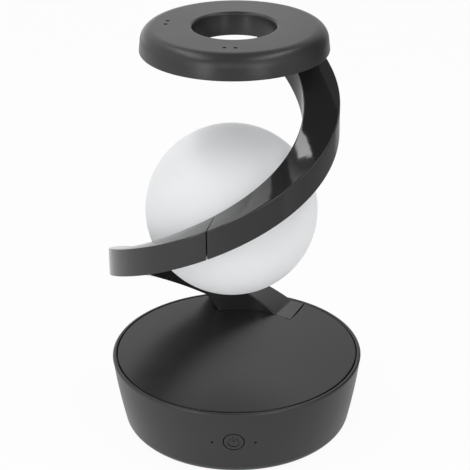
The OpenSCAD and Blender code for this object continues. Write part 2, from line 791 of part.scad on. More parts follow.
module control_board() {
  color("darkgreen")
    at_button()
      difference() {
        translate([-board_w / 2, -board_h / 2, board_z])
          cube([board_w, board_h, board_t]);
        for (side = [-1, 1])
          translate([side * board_screw_x, 0, board_z - eps])
            cylinder(r = small_screw_r + screw_fit, h = board_t + 2 * eps, $fn = 32);
      }
}

module control_board_screws() {
  color("silver")
    at_button()
      for (side = [-1, 1])
        translate([side * board_screw_x, 0, board_z + board_t])
          mirror([0, 0, 1])
            small_screw(board_screw_len - screw_room, $fn = 32);
}

module switch_body() {
  color("gray")
    at_button()
      difference() {
        translate([-switch_w / 2, -switch_w / 2, switch_z])
          cube([switch_w, switch_w, switch_h]);
        translate([0, 0, switch_z - eps])
          cylinder(r = plunger_r + button_gap, h = plunger_in + button_travel + button_gap, $fn = 48);
      }
}

module switch_plunger() {
  color("white")
    at_button()
      translate([0, 0, plunger_z])
        cylinder(r = plunger_r, h = plunger_out + plunger_in, $fn = 48);
}

module power_button() {
  color("#303133")
    at_button() {
      intersection() {
        translate([0, 0, -base_wall])
          cylinder(r = button_r, h = base_wall + button_flange_z + eps);
        flush_face();
      }
      translate([0, 0, button_flange_z])
        cylinder(r = button_hole_r + sleeve_wall / 2, h = button_flange_t);
      translate([0, 0, button_stem_z - eps])
        cylinder(r = button_stem_r, h = button_stem_len + eps, $fn = 48);
    }
}

// The base's outside seen from the button's line, so that the button ends flush with the wall
module flush_face() {
  rotate([90 - wall_tilt, 0, 0])
    translate([0, -button_y, -button_z])
      rotate_extrude()
        base_outline();
}

module indicator_light_pipes() {
  color("lightgray")
    at_button()
      for (side = [-1, 1])
        translate([side * pinhole_x, pinhole_drop, pipe_seat() + cover_gap])
          cylinder(r = light_pipe_r, h = board_z - pipe_seat() - 2 * cover_gap, $fn = 32);
}

module inlet_board() {
  color("darkgreen")
    difference() {
      translate([-inlet_board_w / 2, inlet_board_y - inlet_board_d, inlet_board_z])
        cube([inlet_board_w, inlet_board_d, board_t]);
      for (side = [-1, 1])
        translate([side * inlet_screw_x, inlet_screw_y, inlet_board_z - eps])
          cylinder(r = small_screw_r + screw_fit, h = board_t + 2 * eps, $fn = 32);
    }
}

module usb_socket() {
  color("silver")
    translate([0, inlet_y, inlet_mid_z])
      rotate([90, 0, 0])
        difference() {
          linear_extrude(inlet_len)
            stadium(inlet_w, inlet_h);
          translate([0, 0, -eps])
            linear_extrude(inlet_len - inlet_back)
              stadium(inlet_w - 2 * inlet_wall, inlet_h - 2 * inlet_wall);
        }
  color("black")
    translate([-inlet_tongue_w / 2, inlet_y - inlet_len + inlet_back / 2, inlet_mid_z - inlet_tongue_t / 2])
      cube([inlet_tongue_w, inlet_len - inlet_back / 2 - inlet_tongue_in, inlet_tongue_t]);
}

module inlet_screws() {
  color("silver")
    for (side = [-1, 1])
      translate([side * inlet_screw_x, inlet_screw_y, inlet_board_z + board_t])
        mirror([0, 0, 1])
          small_screw(inlet_screw_len - screw_room, $fn = 32);
}

// Middle line of the wire: it lies on the strips, near the arm's outer wall
function wire_radius(a) = arm_out(a) - arm_wall - wire_lane;
function wire_height(a) = arm_low(a) + strip_t + 2 * strip_gap + wire_r;
function wire_ring(a) = [for (i = [0 : 7])
  let (c = wire_r * [cos(45 * i), sin(45 * i)], r = wire_radius(a) + c[0])
  [r * cos(a), r * sin(a), wire_height(a) + c[1]]];

module arm_wire() {
  color("black")
    sweep([for (a = angles(wire_start, wire_end)) wire_ring(a)], [for (i = [1 : 6]) [0, i, i + 1]]);
}

// The connector hangs under the foot plate, flush with the wire and clear of the housing's wall
module wire_connector() {
  low = wire_height(wire_start) - connector_w / 2;
  outer = min(wire_radius(wire_start) + wire_r, side_r(low) - base_wall - connector_gap);
  color("ivory")
    rotate([0, 0, wire_start])
      translate([outer - connector_w, -connector_w - strip_gap, low])
        cube([connector_w, connector_w, foot_plate_z - low]);
}

module arm_foot_plate() {
  inner = lid_r - arm_foot_w - foot_plate_lip;
  outer = seat_r - 2 * cover_gap;
  from = foot_start - foot_plate_reach;
  to = foot_end + foot_plate_reach;
  window = wire_window_angles;
  window_r = wire_radius(wire_start) - wire_r - wire_window_gap;
  color("gray")
    difference() {
      sector(inner, outer, foot_plate_z, lid_under_z, from, to);
      sector(window_r, seat_r, foot_plate_z - eps, lid_under_z + eps, window[0], window[1]);
      for (a = concat(foot_screw_angles, lid_screw_angles))
        at_angle(a, foot_screw_r, foot_plate_z - eps)
          cylinder(r = small_screw_r + screw_fit, h = foot_plate_t + 2 * eps, $fn = 32);
    }
}

module arm_foot_screws() {
  color("silver") {
    for (a = foot_screw_angles)
      at_angle(a, foot_screw_r, foot_plate_z)
        small_screw(foot_screw_len, $fn = 32);
    for (a = lid_screw_angles)
      at_angle(a, foot_screw_r, foot_plate_z)
        small_screw(foot_plate_t + lid_screw_depth - screw_room, $fn = 32);
  }
}

module lower_arm() {
  color("#202124")
    difference() {
      union() {
        sweep([for (a = lower_angles) channel(a, arm_foot_low(a))], channel_caps);
        for (a = foot_screw_angles)
          at_angle(a, foot_screw_r, lid_under_z)
            cylinder(r = arm_boss_r, h = boss_top(a) - lid_under_z, $fn = 48);
        at_mount()
          translate([0, 0, collar_face])
            cylinder(r = nut_r + cover_gap / 2, h = nut_dist - collar_face, $fn = 64);
      }
      for (a = foot_screw_angles)
        at_angle(a, foot_screw_r, lid_under_z - eps)
          cylinder(r = small_screw_r + screw_fit, h = foot_screw_grip + screw_room, $fn = 32);
      at_mount()
        translate([0, 0, collar_face - eps])
          cylinder(r = neck_r + screw_fit, h = nut_dist - collar_face + 2 * eps, $fn = 48);
      tongue_hole(seam_angle - tongue_reach / 2);
    }
}

// Top of a screw boss in the foot, inside the arm's sloping top wall
function boss_top(a) = arm_top(a - asin(arm_boss_r / foot_screw_r)) - arm_wall / 2;

// Strip that closes the arm from below between two angles
module strip(stations) {
  side = arm_wall + strip_gap;
  sweep([for (a = stations) let (low = arm_foot_low(a))
    bar(a, arm_in(a) + side, arm_out(a) - side, low, low + strip_t)], bar_caps);
}

module lower_arm_cover() {
  color("#1b1c1e")
    strip([for (a = lower_angles) if (a > foot_end) a]);
}

module upper_arm_cover() {
  color("#1b1c1e")
    strip(upper_angles);
}

// Screw hole through the arm's inner wall into the tongue
module tongue_hole(a) {
  at_inner_wall(a) {
    translate([0, 0, -arm_wall])
      cylinder(r = small_screw_r + screw_fit, h = 3 * arm_wall, $fn = 32);
    translate([0, 0, -arm_wall])
      cylinder(r = small_head_r + head_gap, h = arm_wall + small_head_h, $fn = 32);
  }
}

module arm_tongue() {
  inner = arm_wall + tongue_gap;
  outer = arm_wall + wire_lane + wire_r + tongue_wire_gap;
  color("dimgray")
    difference() {
      sweep([for (a = angles(seam_angle - tongue_reach, seam_angle + tongue_reach))
        bar(a, arm_in(a) + inner, arm_out(a) - outer, arm_low(a) + strip_t + 2 * strip_gap,
          arm_top(a) - arm_wall - tongue_gap)], bar_caps);
      for (side = [-1, 1])
        at_inner_wall(seam_angle + side * tongue_reach / 2)
          cylinder(r = small_screw_r + screw_fit, h = arm_wall + tongue_screw_len, $fn = 32);
    }
}

module arm_tongue_screws() {
  color("silver")
    for (side = [-1, 1])
      at_inner_wall(seam_angle + side * tongue_reach / 2)
        translate([0, 0, small_head_h])
          small_screw(tongue_screw_len, $fn = 32);
}

module upper_arm() {
  color("#202124")
    difference() {
      sweep([for (a = upper_angles) channel(a, arm_low(a))], channel_caps);
      tongue_hole(seam_angle + tongue_reach / 2);
      for (a = tail_screw_angles)
        at_angle(a, arm_mid(a), ring_z - 2 * arm_wall)
          cylinder(r = small_screw_r + screw_fit, h = 3 * arm_wall, $fn = 32);
    }
}

module arm_top_screws() {
  color("silver")
    for (a = tail_screw_angles)
      at_angle(a, arm_mid(a), ring_z - arm_wall)
        small_screw(arm_wall + ring_cover_t + ring_screw_len - screw_room, $fn = 32);
}

// Outline of the ring, thinner by a wall where it is hollow
module ring_outline(t) {
  top = ring_h - t;
  r = ring_round - t;
  centre = [ring_r - ring_lean - ring_round, ring_h - ring_round];
  low = t > 0 ? -eps : 0;
  hole = ring_hole_r + t;
  edge = t > 0 ? [[hole, top]] : arc([hole + hole_edge_r, top - hole_edge_r], hole_edge_r, 90, 180);
  polygon(concat([[hole, low], [ring_r - t, low]], arc(centre, r, 0, 90), edge));
}

module ring_shell() {
  color("#2f3032")
    difference() {
      union() {
        translate([0, 0, ring_z])
          rotate_extrude()
            difference() {
              ring_outline(0);
              ring_outline(ring_wall);
            }
        ring_bosses();
        for (a = ring_pair_angles)
          for (side = [-1, 1])
            at_angle(a, ring_pair_r, ring_top_z - ring_wall - ring_board_drop)
              translate([0, side * standoff_y, 0])
                cylinder(r = standoff_r, h = ring_board_drop + ring_wall / 2, $fn = 32);
      }
      for (a = ring_pair_angles)
        for (side = [-1, 1])
          at_angle(a, ring_pair_r, ring_top_z - 2 * ring_wall)
            translate([0, side * ring_pair_pitch / 2, 0])
              cylinder(r = ring_pinhole_r, h = 3 * ring_wall, $fn = 32);
      for (p = boss_places())
        translate([p[0], p[1], ring_z + ring_cover_t - eps])
          cylinder(r = small_screw_r + screw_fit, h = ring_screw_len, $fn = 32);
    }
}

// Places of the screw bosses in the ring
function boss_places() = concat(
  [for (a = ring_screw_angles) ring_screw_r * [cos(a), sin(a)]],
  [for (a = tail_screw_angles) arm_mid(a) * [cos(a), sin(a)]]);

module ring_bosses() {
  for (p = boss_places())
    translate([p[0], p[1], ring_z + ring_cover_t])
      cylinder(r = ring_boss_r, h = ring_h - ring_cover_t - ring_wall / 2, $fn = 48);
}

module ring_cover() {
  side = ring_wall + cover_gap;
  lean = ring_lean * ring_cover_t / (ring_h - ring_round);
  color("#26272a")
    translate([0, 0, ring_z])
      difference() {
        cylinder(r = ring_r - side - lean, h = ring_cover_t);
        translate([0, 0, -eps])
          cylinder(r = ring_hole_r + side, h = ring_cover_t + 2 * eps);
        for (p = boss_places())
          translate([p[0], p[1], -eps])
            cylinder(r = small_screw_r + screw_fit, h = ring_cover_t + 2 * eps, $fn = 32);
        for (a = ring_screw_angles)
          at_angle(a, ring_screw_r, -eps)
            cylinder(r = small_head_r + head_gap, h = small_head_h + eps, $fn = 32);
      }
}

module ring_screws() {
  color("silver")
    for (a = ring_screw_angles)
      at_angle(a, ring_screw_r, ring_z + small_head_h)
        small_screw(ring_cover_t - small_head_h + ring_screw_len - screw_room, $fn = 32);
}

module ring_boards() {
  top = ring_top_z - ring_wall - ring_board_drop;
  color("darkgreen")
    for (a = ring_pair_angles)
      at_angle(a, ring_pair_r, top - board_t)
        translate([-ring_board_d / 2, -ring_board_w / 2, 0])
          cube([ring_board_d, ring_board_w, board_t]);
}

module ring_sensor_chips() {
  top = ring_top_z - ring_wall - ring_board_drop;
  color("black")
    for (a = ring_pair_angles)
      for (side = [-1, 1])
        at_angle(a, ring_pair_r, top)
          translate([-chip_w / 2, side * ring_pair_pitch / 2 - chip_w / 2, 0])
            cube([chip_w, chip_w, chip_h]);
}

module globe() {
  color("#f4f4f2")
    difference() {
      translate(globe_place)
        sphere(r = globe_r);
      translate(globe_place)
        sphere(r = globe_r - globe_wall);
      at_mount()
        translate([0, 0, globe_r - 2 * globe_wall])
          cylinder(r = globe_hole_r, h = 3 * globe_wall);
    }
}

module globe_collar() {
  plug_r = globe_hole_r - collar_gap;
  lip_r = globe_hole_r + collar_lip_w;
  color("#26272a")
    at_mount()
      rotate_extrude()
        polygon([
          [neck_bore_r, lip_end], [lip_r - collar_lip_t / 2, lip_end],
          [lip_r, lip_top - collar_lip_t / 2], [lip_r, lip_top], [plug_r, lip_top], [plug_r, collar_seat],
          [collar_flange_r, collar_seat], [collar_flange_r, collar_face], [neck_r, collar_face],
          [neck_r, neck_end], [neck_bore_r, neck_end]]);
}

module globe_nut() {
  color("silver")
    at_mount()
      translate([0, 0, nut_dist])
        difference() {
          cylinder(r = nut_r, h = nut_t, $fn = 6);
          translate([0, 0, -eps])
            cylinder(r = neck_r + screw_fit, h = nut_t + 2 * eps, $fn = 48);
        }
}

module led_post() {
  color("lightgray")
    at_mount()
      difference() {
        translate([0, 0, led_off])
          cylinder(r = led_post_r, h = lip_end - led_off, $fn = 64);
        translate([0, 0, led_off - eps])
          cylinder(r = neck_bore_r, h = lip_end - led_off + 2 * eps, $fn = 32);
      }
}

module led_board() {
  color("white")
    at_mount()
      translate([0, 0, led_off - led_board_t])
        cylinder(r = led_board_r, h = led_board_t, $fn = 64);
}

module led_chips() {
  color("gold")
    at_mount()
      for (a = [0, 120, 240])
        rotate([0, 0, a])
          translate([led_chip_circle - led_chip_w / 2, -led_chip_w / 2, led_off - led_board_t - chip_h])
            cube([led_chip_w, led_chip_w, chip_h]);
}

base_housing();
base_lid();
bottom_cover();
foot_pads();
bottom_screws();
ballast_plate();
battery_cell();
control_board();
control_board_screws();
switch_body();
switch_plunger();
power_button();
indicator_light_pipes();
inlet_board();
usb_socket();
inlet_screws();
wire_connector();
arm_wire();
arm_foot_plate();
arm_foot_screws();
lower_arm();
lower_arm_cover();
arm_tongue();
arm_tongue_screws();
upper_arm();
upper_arm_cover();
arm_top_screws();
ring_shell();
ring_cover();
ring_screws();
ring_boards();
ring_sensor_chips();
globe();
globe_collar();
globe_nut();
led_post();
led_board();
led_chips();
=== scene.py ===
# %% [markdown]
# # A spiral table lamp
#
# The lamp has a round black base, an arm that climbs once around to a flat ring, and a frosted globe that
# hangs at the arm's waist. The solids of the lamp are already built to size. This lesson loads them as a
# fixed frame and makes the surfaces that show: rounded shells, a button with its sign, screws and finishes.
# Each shell is worked out with numpy from a few sizes, so that it sits exactly where its solid is.

# %% Load the frame
import json
import math

import bmesh
import bpy
import numpy as np
from mathutils import Matrix, Vector

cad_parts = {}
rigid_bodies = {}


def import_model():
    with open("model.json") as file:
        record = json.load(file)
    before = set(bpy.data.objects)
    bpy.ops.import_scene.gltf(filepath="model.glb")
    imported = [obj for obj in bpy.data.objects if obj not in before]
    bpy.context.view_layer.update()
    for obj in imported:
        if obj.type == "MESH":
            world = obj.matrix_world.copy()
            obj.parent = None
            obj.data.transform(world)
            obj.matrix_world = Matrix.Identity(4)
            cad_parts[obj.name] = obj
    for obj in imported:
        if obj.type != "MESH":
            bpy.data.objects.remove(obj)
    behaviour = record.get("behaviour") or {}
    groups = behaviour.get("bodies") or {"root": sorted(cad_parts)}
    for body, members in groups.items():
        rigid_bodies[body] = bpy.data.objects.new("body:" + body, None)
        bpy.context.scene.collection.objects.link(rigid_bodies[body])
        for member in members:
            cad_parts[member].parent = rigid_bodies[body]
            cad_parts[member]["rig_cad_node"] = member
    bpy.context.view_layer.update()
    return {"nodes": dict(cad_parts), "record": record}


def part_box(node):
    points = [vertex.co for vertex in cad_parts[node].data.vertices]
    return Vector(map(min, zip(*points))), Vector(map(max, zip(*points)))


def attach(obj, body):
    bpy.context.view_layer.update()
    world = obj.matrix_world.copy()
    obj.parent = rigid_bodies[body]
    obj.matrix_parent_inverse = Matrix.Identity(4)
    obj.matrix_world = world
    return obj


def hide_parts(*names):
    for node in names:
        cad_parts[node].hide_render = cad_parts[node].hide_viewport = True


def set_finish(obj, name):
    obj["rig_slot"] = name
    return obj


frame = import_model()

MM = 0.001
nodes = frame["nodes"]


def span(node):
    """Lowest and highest corner of a solid, in millimetres."""
    low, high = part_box(node)
    return np.array(low) / MM, np.array(high) / MM


# %% [markdown]
# ## Grids, outlines and pieces
#
# Almost every part of this lamp is an outline that travels: round an axis for the base, the ring and the
# globe, or along a rising circle for the arm. One could model them by hand with spin and screw modifiers.
# Here the points are arrays, because then a hole or a rounded edge is a formula and stays exact.

# %% Circles and outlines
SIDE_SHARE = 0.48


def circle_of(angle):
    """Unit vectors at angles in degrees: cosine and sine side by side."""
    angle = np.radians(angle)
    return np.stack([np.cos(angle), np.sin(angle)], -1)


def angle_of(points):
    """Angles round the z axis in degrees, from 0 to 360: the arc tangent of y over x."""
    return np.degrees(np.arctan2(points[..., 1], points[..., 0])) % 360


def even_angles(columns):
    """Angles once around, in even steps."""
    return 360 * np.arange(columns) / columns


def arc(centre, radius, start, stop, steps):
    """Points on a circle: the centre plus the radius times the unit vector, at even angles."""
    return np.array(centre) + radius * circle_of(np.linspace(start, stop, steps + 1))


def rounded(corners, radii, steps=5):
    """A closed outline with an arc at each corner. The arc's middle lies on the corner's bisector, at radius
    over the sine of half the corner's angle. An arc takes less than half of its shorter side. Leading axes
    hold many outlines at once."""
    corners = np.asarray(corners, float)
    ways = [np.roll(corners, shift, -2) - corners for shift in (1, -1)]
    lengths = [np.linalg.norm(way, axis=-1, keepdims=True) for way in ways]
    back, ahead = (way / np.maximum(length, 1e-9) for way, length in zip(ways, lengths))
    half = np.arccos(np.clip((back * ahead).sum(-1, keepdims=True), -1, 1)) / 2
    room = SIDE_SHARE * np.minimum(*lengths) * np.tan(half)
    radius = np.minimum(np.asarray(radii, float)[:, None], room)
    bisector = (back + ahead) / np.linalg.norm(back + ahead, axis=-1, keepdims=True)
    centre = corners + bisector * radius / np.sin(half)
    first = corners + back * radius / np.tan(half) - centre
    last = corners + ahead * radius / np.tan(half) - centre
    start = np.arctan2(first[..., 1], first[..., 0])
    turn = np.arctan2(last[..., 1], last[..., 0]) - start
    turn = (turn + np.pi) % (2 * np.pi) - np.pi
    angle = start[..., None] + turn[..., None] * np.linspace(0, 1, steps + 1)
    around = np.stack([np.cos(angle), np.sin(angle)], -1)
    return centre[..., None, :] + radius[..., None, :] * around


# %% Grids
def turned(profile, columns):
    """A profile of radius and height carried round the z axis: x and y are radius times unit vector."""
    flat = profile[:, None, :1] * circle_of(even_angles(columns))[None]
    return np.concatenate([flat, np.broadcast_to(profile[:, None, 1:], (*flat.shape[:2], 1))], -1)


def grid_faces(rows, columns, loop_rows=False, loop_columns=True):
    """Four corners for each cell of a grid of points. A looped direction joins its last line to its first."""
    r = np.arange(rows if loop_rows else rows - 1)[:, None]
    c = np.arange(columns if loop_columns else columns - 1)[None]
    r_next, c_next = (r + 1) % rows, (c + 1) % columns
    cells = [r * columns + c, r * columns + c_next, r_next * columns + c_next, r_next * columns + c]
    return np.stack(np.broadcast_arrays(*cells), -1)


class Surface:
    """Points in millimetres and faces that are collected until they become one piece."""

    def __init__(self, *grids):
        self.points, self.faces, self.count = [], [], 0
        for grid in grids:
            self.add_grid(grid)

    def add(self, points, faces=()):
        """Adds points and the faces between them, and gives the index of the first point."""
        first = self.count
        self.points.append(np.asarray(points, float).reshape(-1, 3))
        self.count += len(self.points[-1])
        self.link(np.asarray(faces, int).reshape(-1, 4) + first)
        return first

    def add_grid(self, points):
        """Adds a grid of points whose rows are closed loops, and all its cells."""
        return self.add(points, grid_faces(*points.shape[:2]))

    def link(self, faces):
        """Adds faces between points that are there already."""
        self.faces += np.asarray(faces).tolist()

    def band(self, one, other):
        """Adds the faces between two closed loops of points."""
        self.link(np.stack([one, np.roll(one, -1), np.roll(other, -1), other], -1))

    def close_ends(self, rows, columns):
        """Adds flat faces over the first and the last row of the grid that was added first."""
        end = np.arange(columns)
        self.link([end, end + (rows - 1) * columns])


# %% Pieces
MERGE_WITHIN = 0.002 * MM
SHARP_FROM = 38.0


def put(name, data):
    """A new object in the scene, at the origin."""
    thing = bpy.data.objects.new(name, data)
    bpy.context.scene.collection.objects.link(thing)
    return thing


def make_piece(name, surface, slot, *stands_for, body="lamp"):
    """One mesh piece: doubles merged, normals outwards, round stretches smooth and corners sharp."""
    mesh = bpy.data.meshes.new(name)
    mesh.from_pydata((np.concatenate(surface.points) * MM).tolist(), [], surface.faces)
    shape = bmesh.new()
    shape.from_mesh(mesh)
    bmesh.ops.remove_doubles(shape, verts=shape.verts, dist=MERGE_WITHIN)
    bmesh.ops.recalc_face_normals(shape, faces=shape.faces)
    shape.to_mesh(mesh)
    shape.free()
    mesh.polygons.foreach_set("use_smooth", np.ones(len(mesh.polygons), bool))
    mesh.set_sharp_from_angle(angle=math.radians(SHARP_FROM))
    piece = put(name, mesh)
    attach(piece, body)
    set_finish(piece, slot)
    if stands_for:
        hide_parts(*stands_for)
    print(name, "faces:", len(mesh.polygons))
    return piece


# %% [markdown]
# ## Holes in a grid
#
# A button hole or a pinhole could be cut with a Boolean modifier, which leaves long thin faces that shade
# badly. Instead a block of cells is left out of the grid, and rings of points lead from the block's square
# border to the round hole. Each ring is dropped onto the surface along the hole's own line.

# %% Line of a hole
NEWTON_STEPS = 6
SMALL_STEP = 1e-4


class HoleLine:
    """The line of a hole: where it meets the surface, and the directions across, up and inwards."""

    def __init__(self, origin, across, up, straight=0):
        self.origin, self.across, self.up = (np.asarray(v, float) for v in (origin, across, up))
        self.inward = np.cross(self.up, self.across)
        self.straight = straight

    def flat(self, points):
        """How far points lie across and up from the line."""
        away = points - self.origin
        return np.stack([away @ self.across, away @ self.up], -1)

    def loop(self, radius, around):
        """An outline at a distance from the hole's core, which is a point or a short straight line."""
        if not self.straight:
            return radius * around
        side = np.sign(around[:, 0])
        lean = np.clip(2 * np.abs(around[:, 0]) - 1, 0, 1) * side
        core = self.straight * np.clip(2 * around[:, 0], -1, 1)
        rise = np.sqrt(1 - lean**2) * np.sign(around[:, 1])
        return np.stack([core + radius * lean, radius * rise], -1)

    def at(self, flat, depth):
        """Points across and up from the line, at a depth along it."""
        start = self.origin + flat[:, :1] * self.across + flat[:, 1:] * self.up
        return start + np.asarray(depth)[..., None] * self.inward

    def on(self, surface, flat, depth=0.0):
        """Flat places dropped onto a surface: the depth along the line is found by Newton's steps."""
        way = np.zeros(len(flat))
        for _ in range(NEWTON_STEPS):
            miss = surface(self.at(flat, way))
            slope = (surface(self.at(flat, way + SMALL_STEP)) - miss) / SMALL_STEP
            way -= miss / slope
        return self.at(flat, way + depth)


# %% Blocks and rings
def cells_between(values, low, high):
    """Indices of the grid lines from the last one below low to the first one above high."""
    return np.arange(np.searchsorted(values, low) - 1, np.searchsorted(values, high) + 1)


class HoledGrid(Surface):
    """A grid of points from which blocks of cells can be cut before the rest is closed."""

    def __init__(self, points, loop_rows=False):
        super().__init__()
        self.add(points)
        self.width = points.shape[1]
        self.cells = grid_faces(*points.shape[:2], loop_rows)
        self.keep = np.ones(self.cells.shape[:2], bool)

    def columns_at(self, line, reach):
        """Columns of a turned grid within a reach of a hole: the swing is the reach over the radius."""
        place = angle_of(line.origin)
        swing = np.degrees((reach + line.straight) / np.hypot(*line.origin[:2]))
        return cells_between(even_angles(self.width), place - swing, place + swing)

    def cut(self, rows, columns):
        """Leaves out the cells of a block, and gives the indices once around it."""
        self.keep[np.ix_(np.minimum(rows[:-1], rows[1:]), columns[:-1])] = False
        walk = [(rows[:1], columns), (rows[1:], columns[-1:]),
                (rows[-1:], columns[-2::-1]), (rows[-2:0:-1], columns[:1])]
        return np.concatenate([(r[:, None] * self.width + c[None]).ravel() for r, c in walk])

    def close(self):
        """Adds the cells that are left."""
        self.link(self.cells[self.keep])


def rings_to_hole(shape, border, line, surface, rings, around=None, blend=3):
    """Bands of faces from a block's border to a hole. Rings hold radius and depth below the surface, and the
    blend before them goes evenly from the border's place to the first ring's."""
    flat = line.flat(np.concatenate(shape.points)[border])
    if around is None:
        around = flat / np.linalg.norm(flat, axis=-1, keepdims=True)
    goal = line.loop(rings[0][0], around)
    loops = [line.on(surface, flat + (goal - flat) * share) for share in np.arange(1, blend) / blend]
    loops += [line.on(surface, line.loop(radius, around), depth) for radius, depth in rings]
    last, ids = border, np.arange(len(border))
    for loop in loops:
        here = shape.add(loop) + ids
        shape.band(last, here)
        last = here
    return last, around


def blind_hole(shape, border, line, surface, rings):
    """A hole whose last ring is closed by one flat face."""
    floor_loop, _ = rings_to_hole(shape, border, line, surface, rings)
    shape.link([floor_loop])


def soft_mouth(radius, edge, steps=4):
    """Rings over a hole's rounded edge: a quarter circle from the face of the wall into the hole."""
    angle = np.linspace(0, np.pi / 2, steps + 1)
    return list(zip(radius + edge - edge * np.sin(angle), edge - edge * np.cos(angle)))


# %% [markdown]
# ## Sizes that the pieces share
#
# Heights and radii come from the frame's own boxes. What a box can't tell, such as a wall or an angle, is
# written once, where it is first needed. Lengths are millimetres, and angles are degrees counted from the
# lamp's right-hand side.

# %% Shared sizes
base_low, base_high = span("base_housing")
base_z, lid_z, base_r = base_low[2], base_high[2], base_high[0]
lid_r = -span("base_lid")[0][0]
cover_r = span("bottom_cover")[1][0]
ring_low, ring_high = span("ring_shell")
ring_z, ring_top_z, ring_r = ring_low[2], ring_high[2], ring_high[0]
globe_low, globe_high = span("globe")
globe_middle = (globe_low + globe_high) / 2
globe_r = (globe_high[2] - globe_low[2]) / 2
LID_T = 3.0
LID_GAP = 0.5
COVER_GAP = 0.2
lid_under_z = lid_z - LID_T
print("lid at", round(lid_z, 2), "ring at", round(ring_z, 2), "globe radius", round(globe_r, 2))

# %% [markdown]
# ## Base housing
#
# On the real lamp this is one moulding: a cup whose side swells a little, with a round foot, a thin rim and
# a ledge for the lid. It is a closed profile carried round the axis. The button hole, the two pinholes and
# the inlet's slot are blocks left out of the grid, once on the outside and once on the inside of the wall.

# %% Side of the base
FOOT_R = 55.9
SWELL = 0.6
WALL = 2.4
base_h = lid_z - base_z


def side_r(z):
    """Radius of the base's side: straight from foot to rim, plus a swell that is a parabola of the height."""
    s = (z - base_z) / base_h
    return FOOT_R + (base_r - FOOT_R) * s + SWELL * 4 * s * (1 - s)


def off_side(points):
    """How far points stand out from the base's side."""
    return np.hypot(points[:, 0], points[:, 1]) - side_r(points[:, 2])


def off_inside(points):
    """How far points stand out from the inside of the base's wall."""
    return off_side(points) + WALL


def side_tilt(z):
    """Lean of the side from the vertical in degrees: the angle whose tangent is the radius's slope."""
    s = (z - base_z) / base_h
    return math.degrees(math.atan((base_r - FOOT_R + SWELL * 4 * (1 - 2 * s)) / base_h))


print("the side leans", round(side_tilt(base_z), 2), "degrees at the foot")

# %% Profile of the housing
FOOT_EDGE = 6.0
RIM_EDGE = 1.0
GROOVE_EDGE = 0.8
LEDGE_W = 2.5
LEDGE_H = 2.0
FLANGE_W = 3.6
FLANGE_T = 1.4
COVER_T = 2.0
CORNER_H = 3.0
CORNER_W = 2.0
ROW_STEP = 1.0
ROW_MARGIN = 0.5
tilt = side_tilt(base_z)
edge_x = FOOT_R - FOOT_EDGE * math.tan(math.radians((90 - tilt) / 2))
foot = arc((edge_x, base_z + FOOT_EDGE), FOOT_EDGE, -90, -tilt, steps=12)
heights = np.arange(foot[-1, 1] + ROW_STEP, lid_z - 2 * RIM_EDGE, ROW_STEP)
outside = np.stack([side_r(heights), heights], -1)
rim = arc((base_r - RIM_EDGE, lid_z - RIM_EDGE), RIM_EDGE, 0, 90, steps=10)
groove_r = lid_r + LID_GAP
groove = arc((groove_r + GROOVE_EDGE, lid_z - GROOVE_EDGE), GROOVE_EDGE, 90, 180, steps=8)
seat_r, ledge_z = lid_r - LEDGE_W, lid_under_z - LEDGE_H
ledge_back_z = ledge_z - (side_r(ledge_z) - WALL - seat_r)
ledge = [[groove_r, lid_under_z], [seat_r, lid_under_z], [seat_r, ledge_z]]
cover_top_z = base_z + COVER_T
flange_top_z = cover_top_z + FLANGE_T
lowest, highest = flange_top_z + CORNER_H + ROW_MARGIN, ledge_back_z - ROW_MARGIN
within = heights[(heights > lowest) & (heights < highest)]
inside = np.stack([side_r(within) - WALL, within], -1)[::-1]
flange_r, recess_r = cover_r - FLANGE_W, cover_r + COVER_GAP
floor_rows = [[side_r(flange_top_z) - WALL - CORNER_W, flange_top_z], [flange_r, flange_top_z],
              [flange_r, cover_top_z], [recess_r, cover_top_z], [recess_r, base_z]]
before = [foot, outside, rim, groove, ledge]
base_profile = np.concatenate([*before, inside, floor_rows])
# first rows of the outer and the inner face
first_out, first_in = len(foot), sum(map(len, before))
print("housing profile:", len(base_profile), "points")

# %% Holes in the housing
BUTTON_DROP = 16.7
BUTTON_HOLE_R = 5.25
SLEEVE_DEPTH = 5.0
SLEEVE_WALL = 1.8
SLEEVE_MARGIN = 0.5
PINHOLE_X = 10.4
PINHOLE_DROP = 1.0
PINHOLE_R = 0.6
PINHOLE_EDGE = PINHOLE_R / 10
PINHOLE_REACH = 3 * PINHOLE_R
INLET_H = 3.2
INLET_W = 8.9
INLET_GAP = 0.3
MOUTH_EDGE = 0.06
BLOCK_SHARE = 1.6
button_z = lid_z - BUTTON_DROP
button_tilt = math.radians(side_tilt(button_z))
button_up = np.array([0, -math.sin(button_tilt), math.cos(button_tilt)])
socket_low, socket_high = span("usb_socket")
inlet_z = (socket_low[2] + socket_high[2]) / 2
inlet_half = (INLET_W - INLET_H) / 2


def button_line(x=0.0, drop=0.0):
    """A line into the front wall, beside or below the middle of the button."""
    middle = np.array([x, -side_r(button_z), button_z]) - drop * button_up
    line = HoleLine(middle, (1, 0, 0), button_up)
    line.origin = line.on(off_side, np.zeros((1, 2)))[0]
    return line


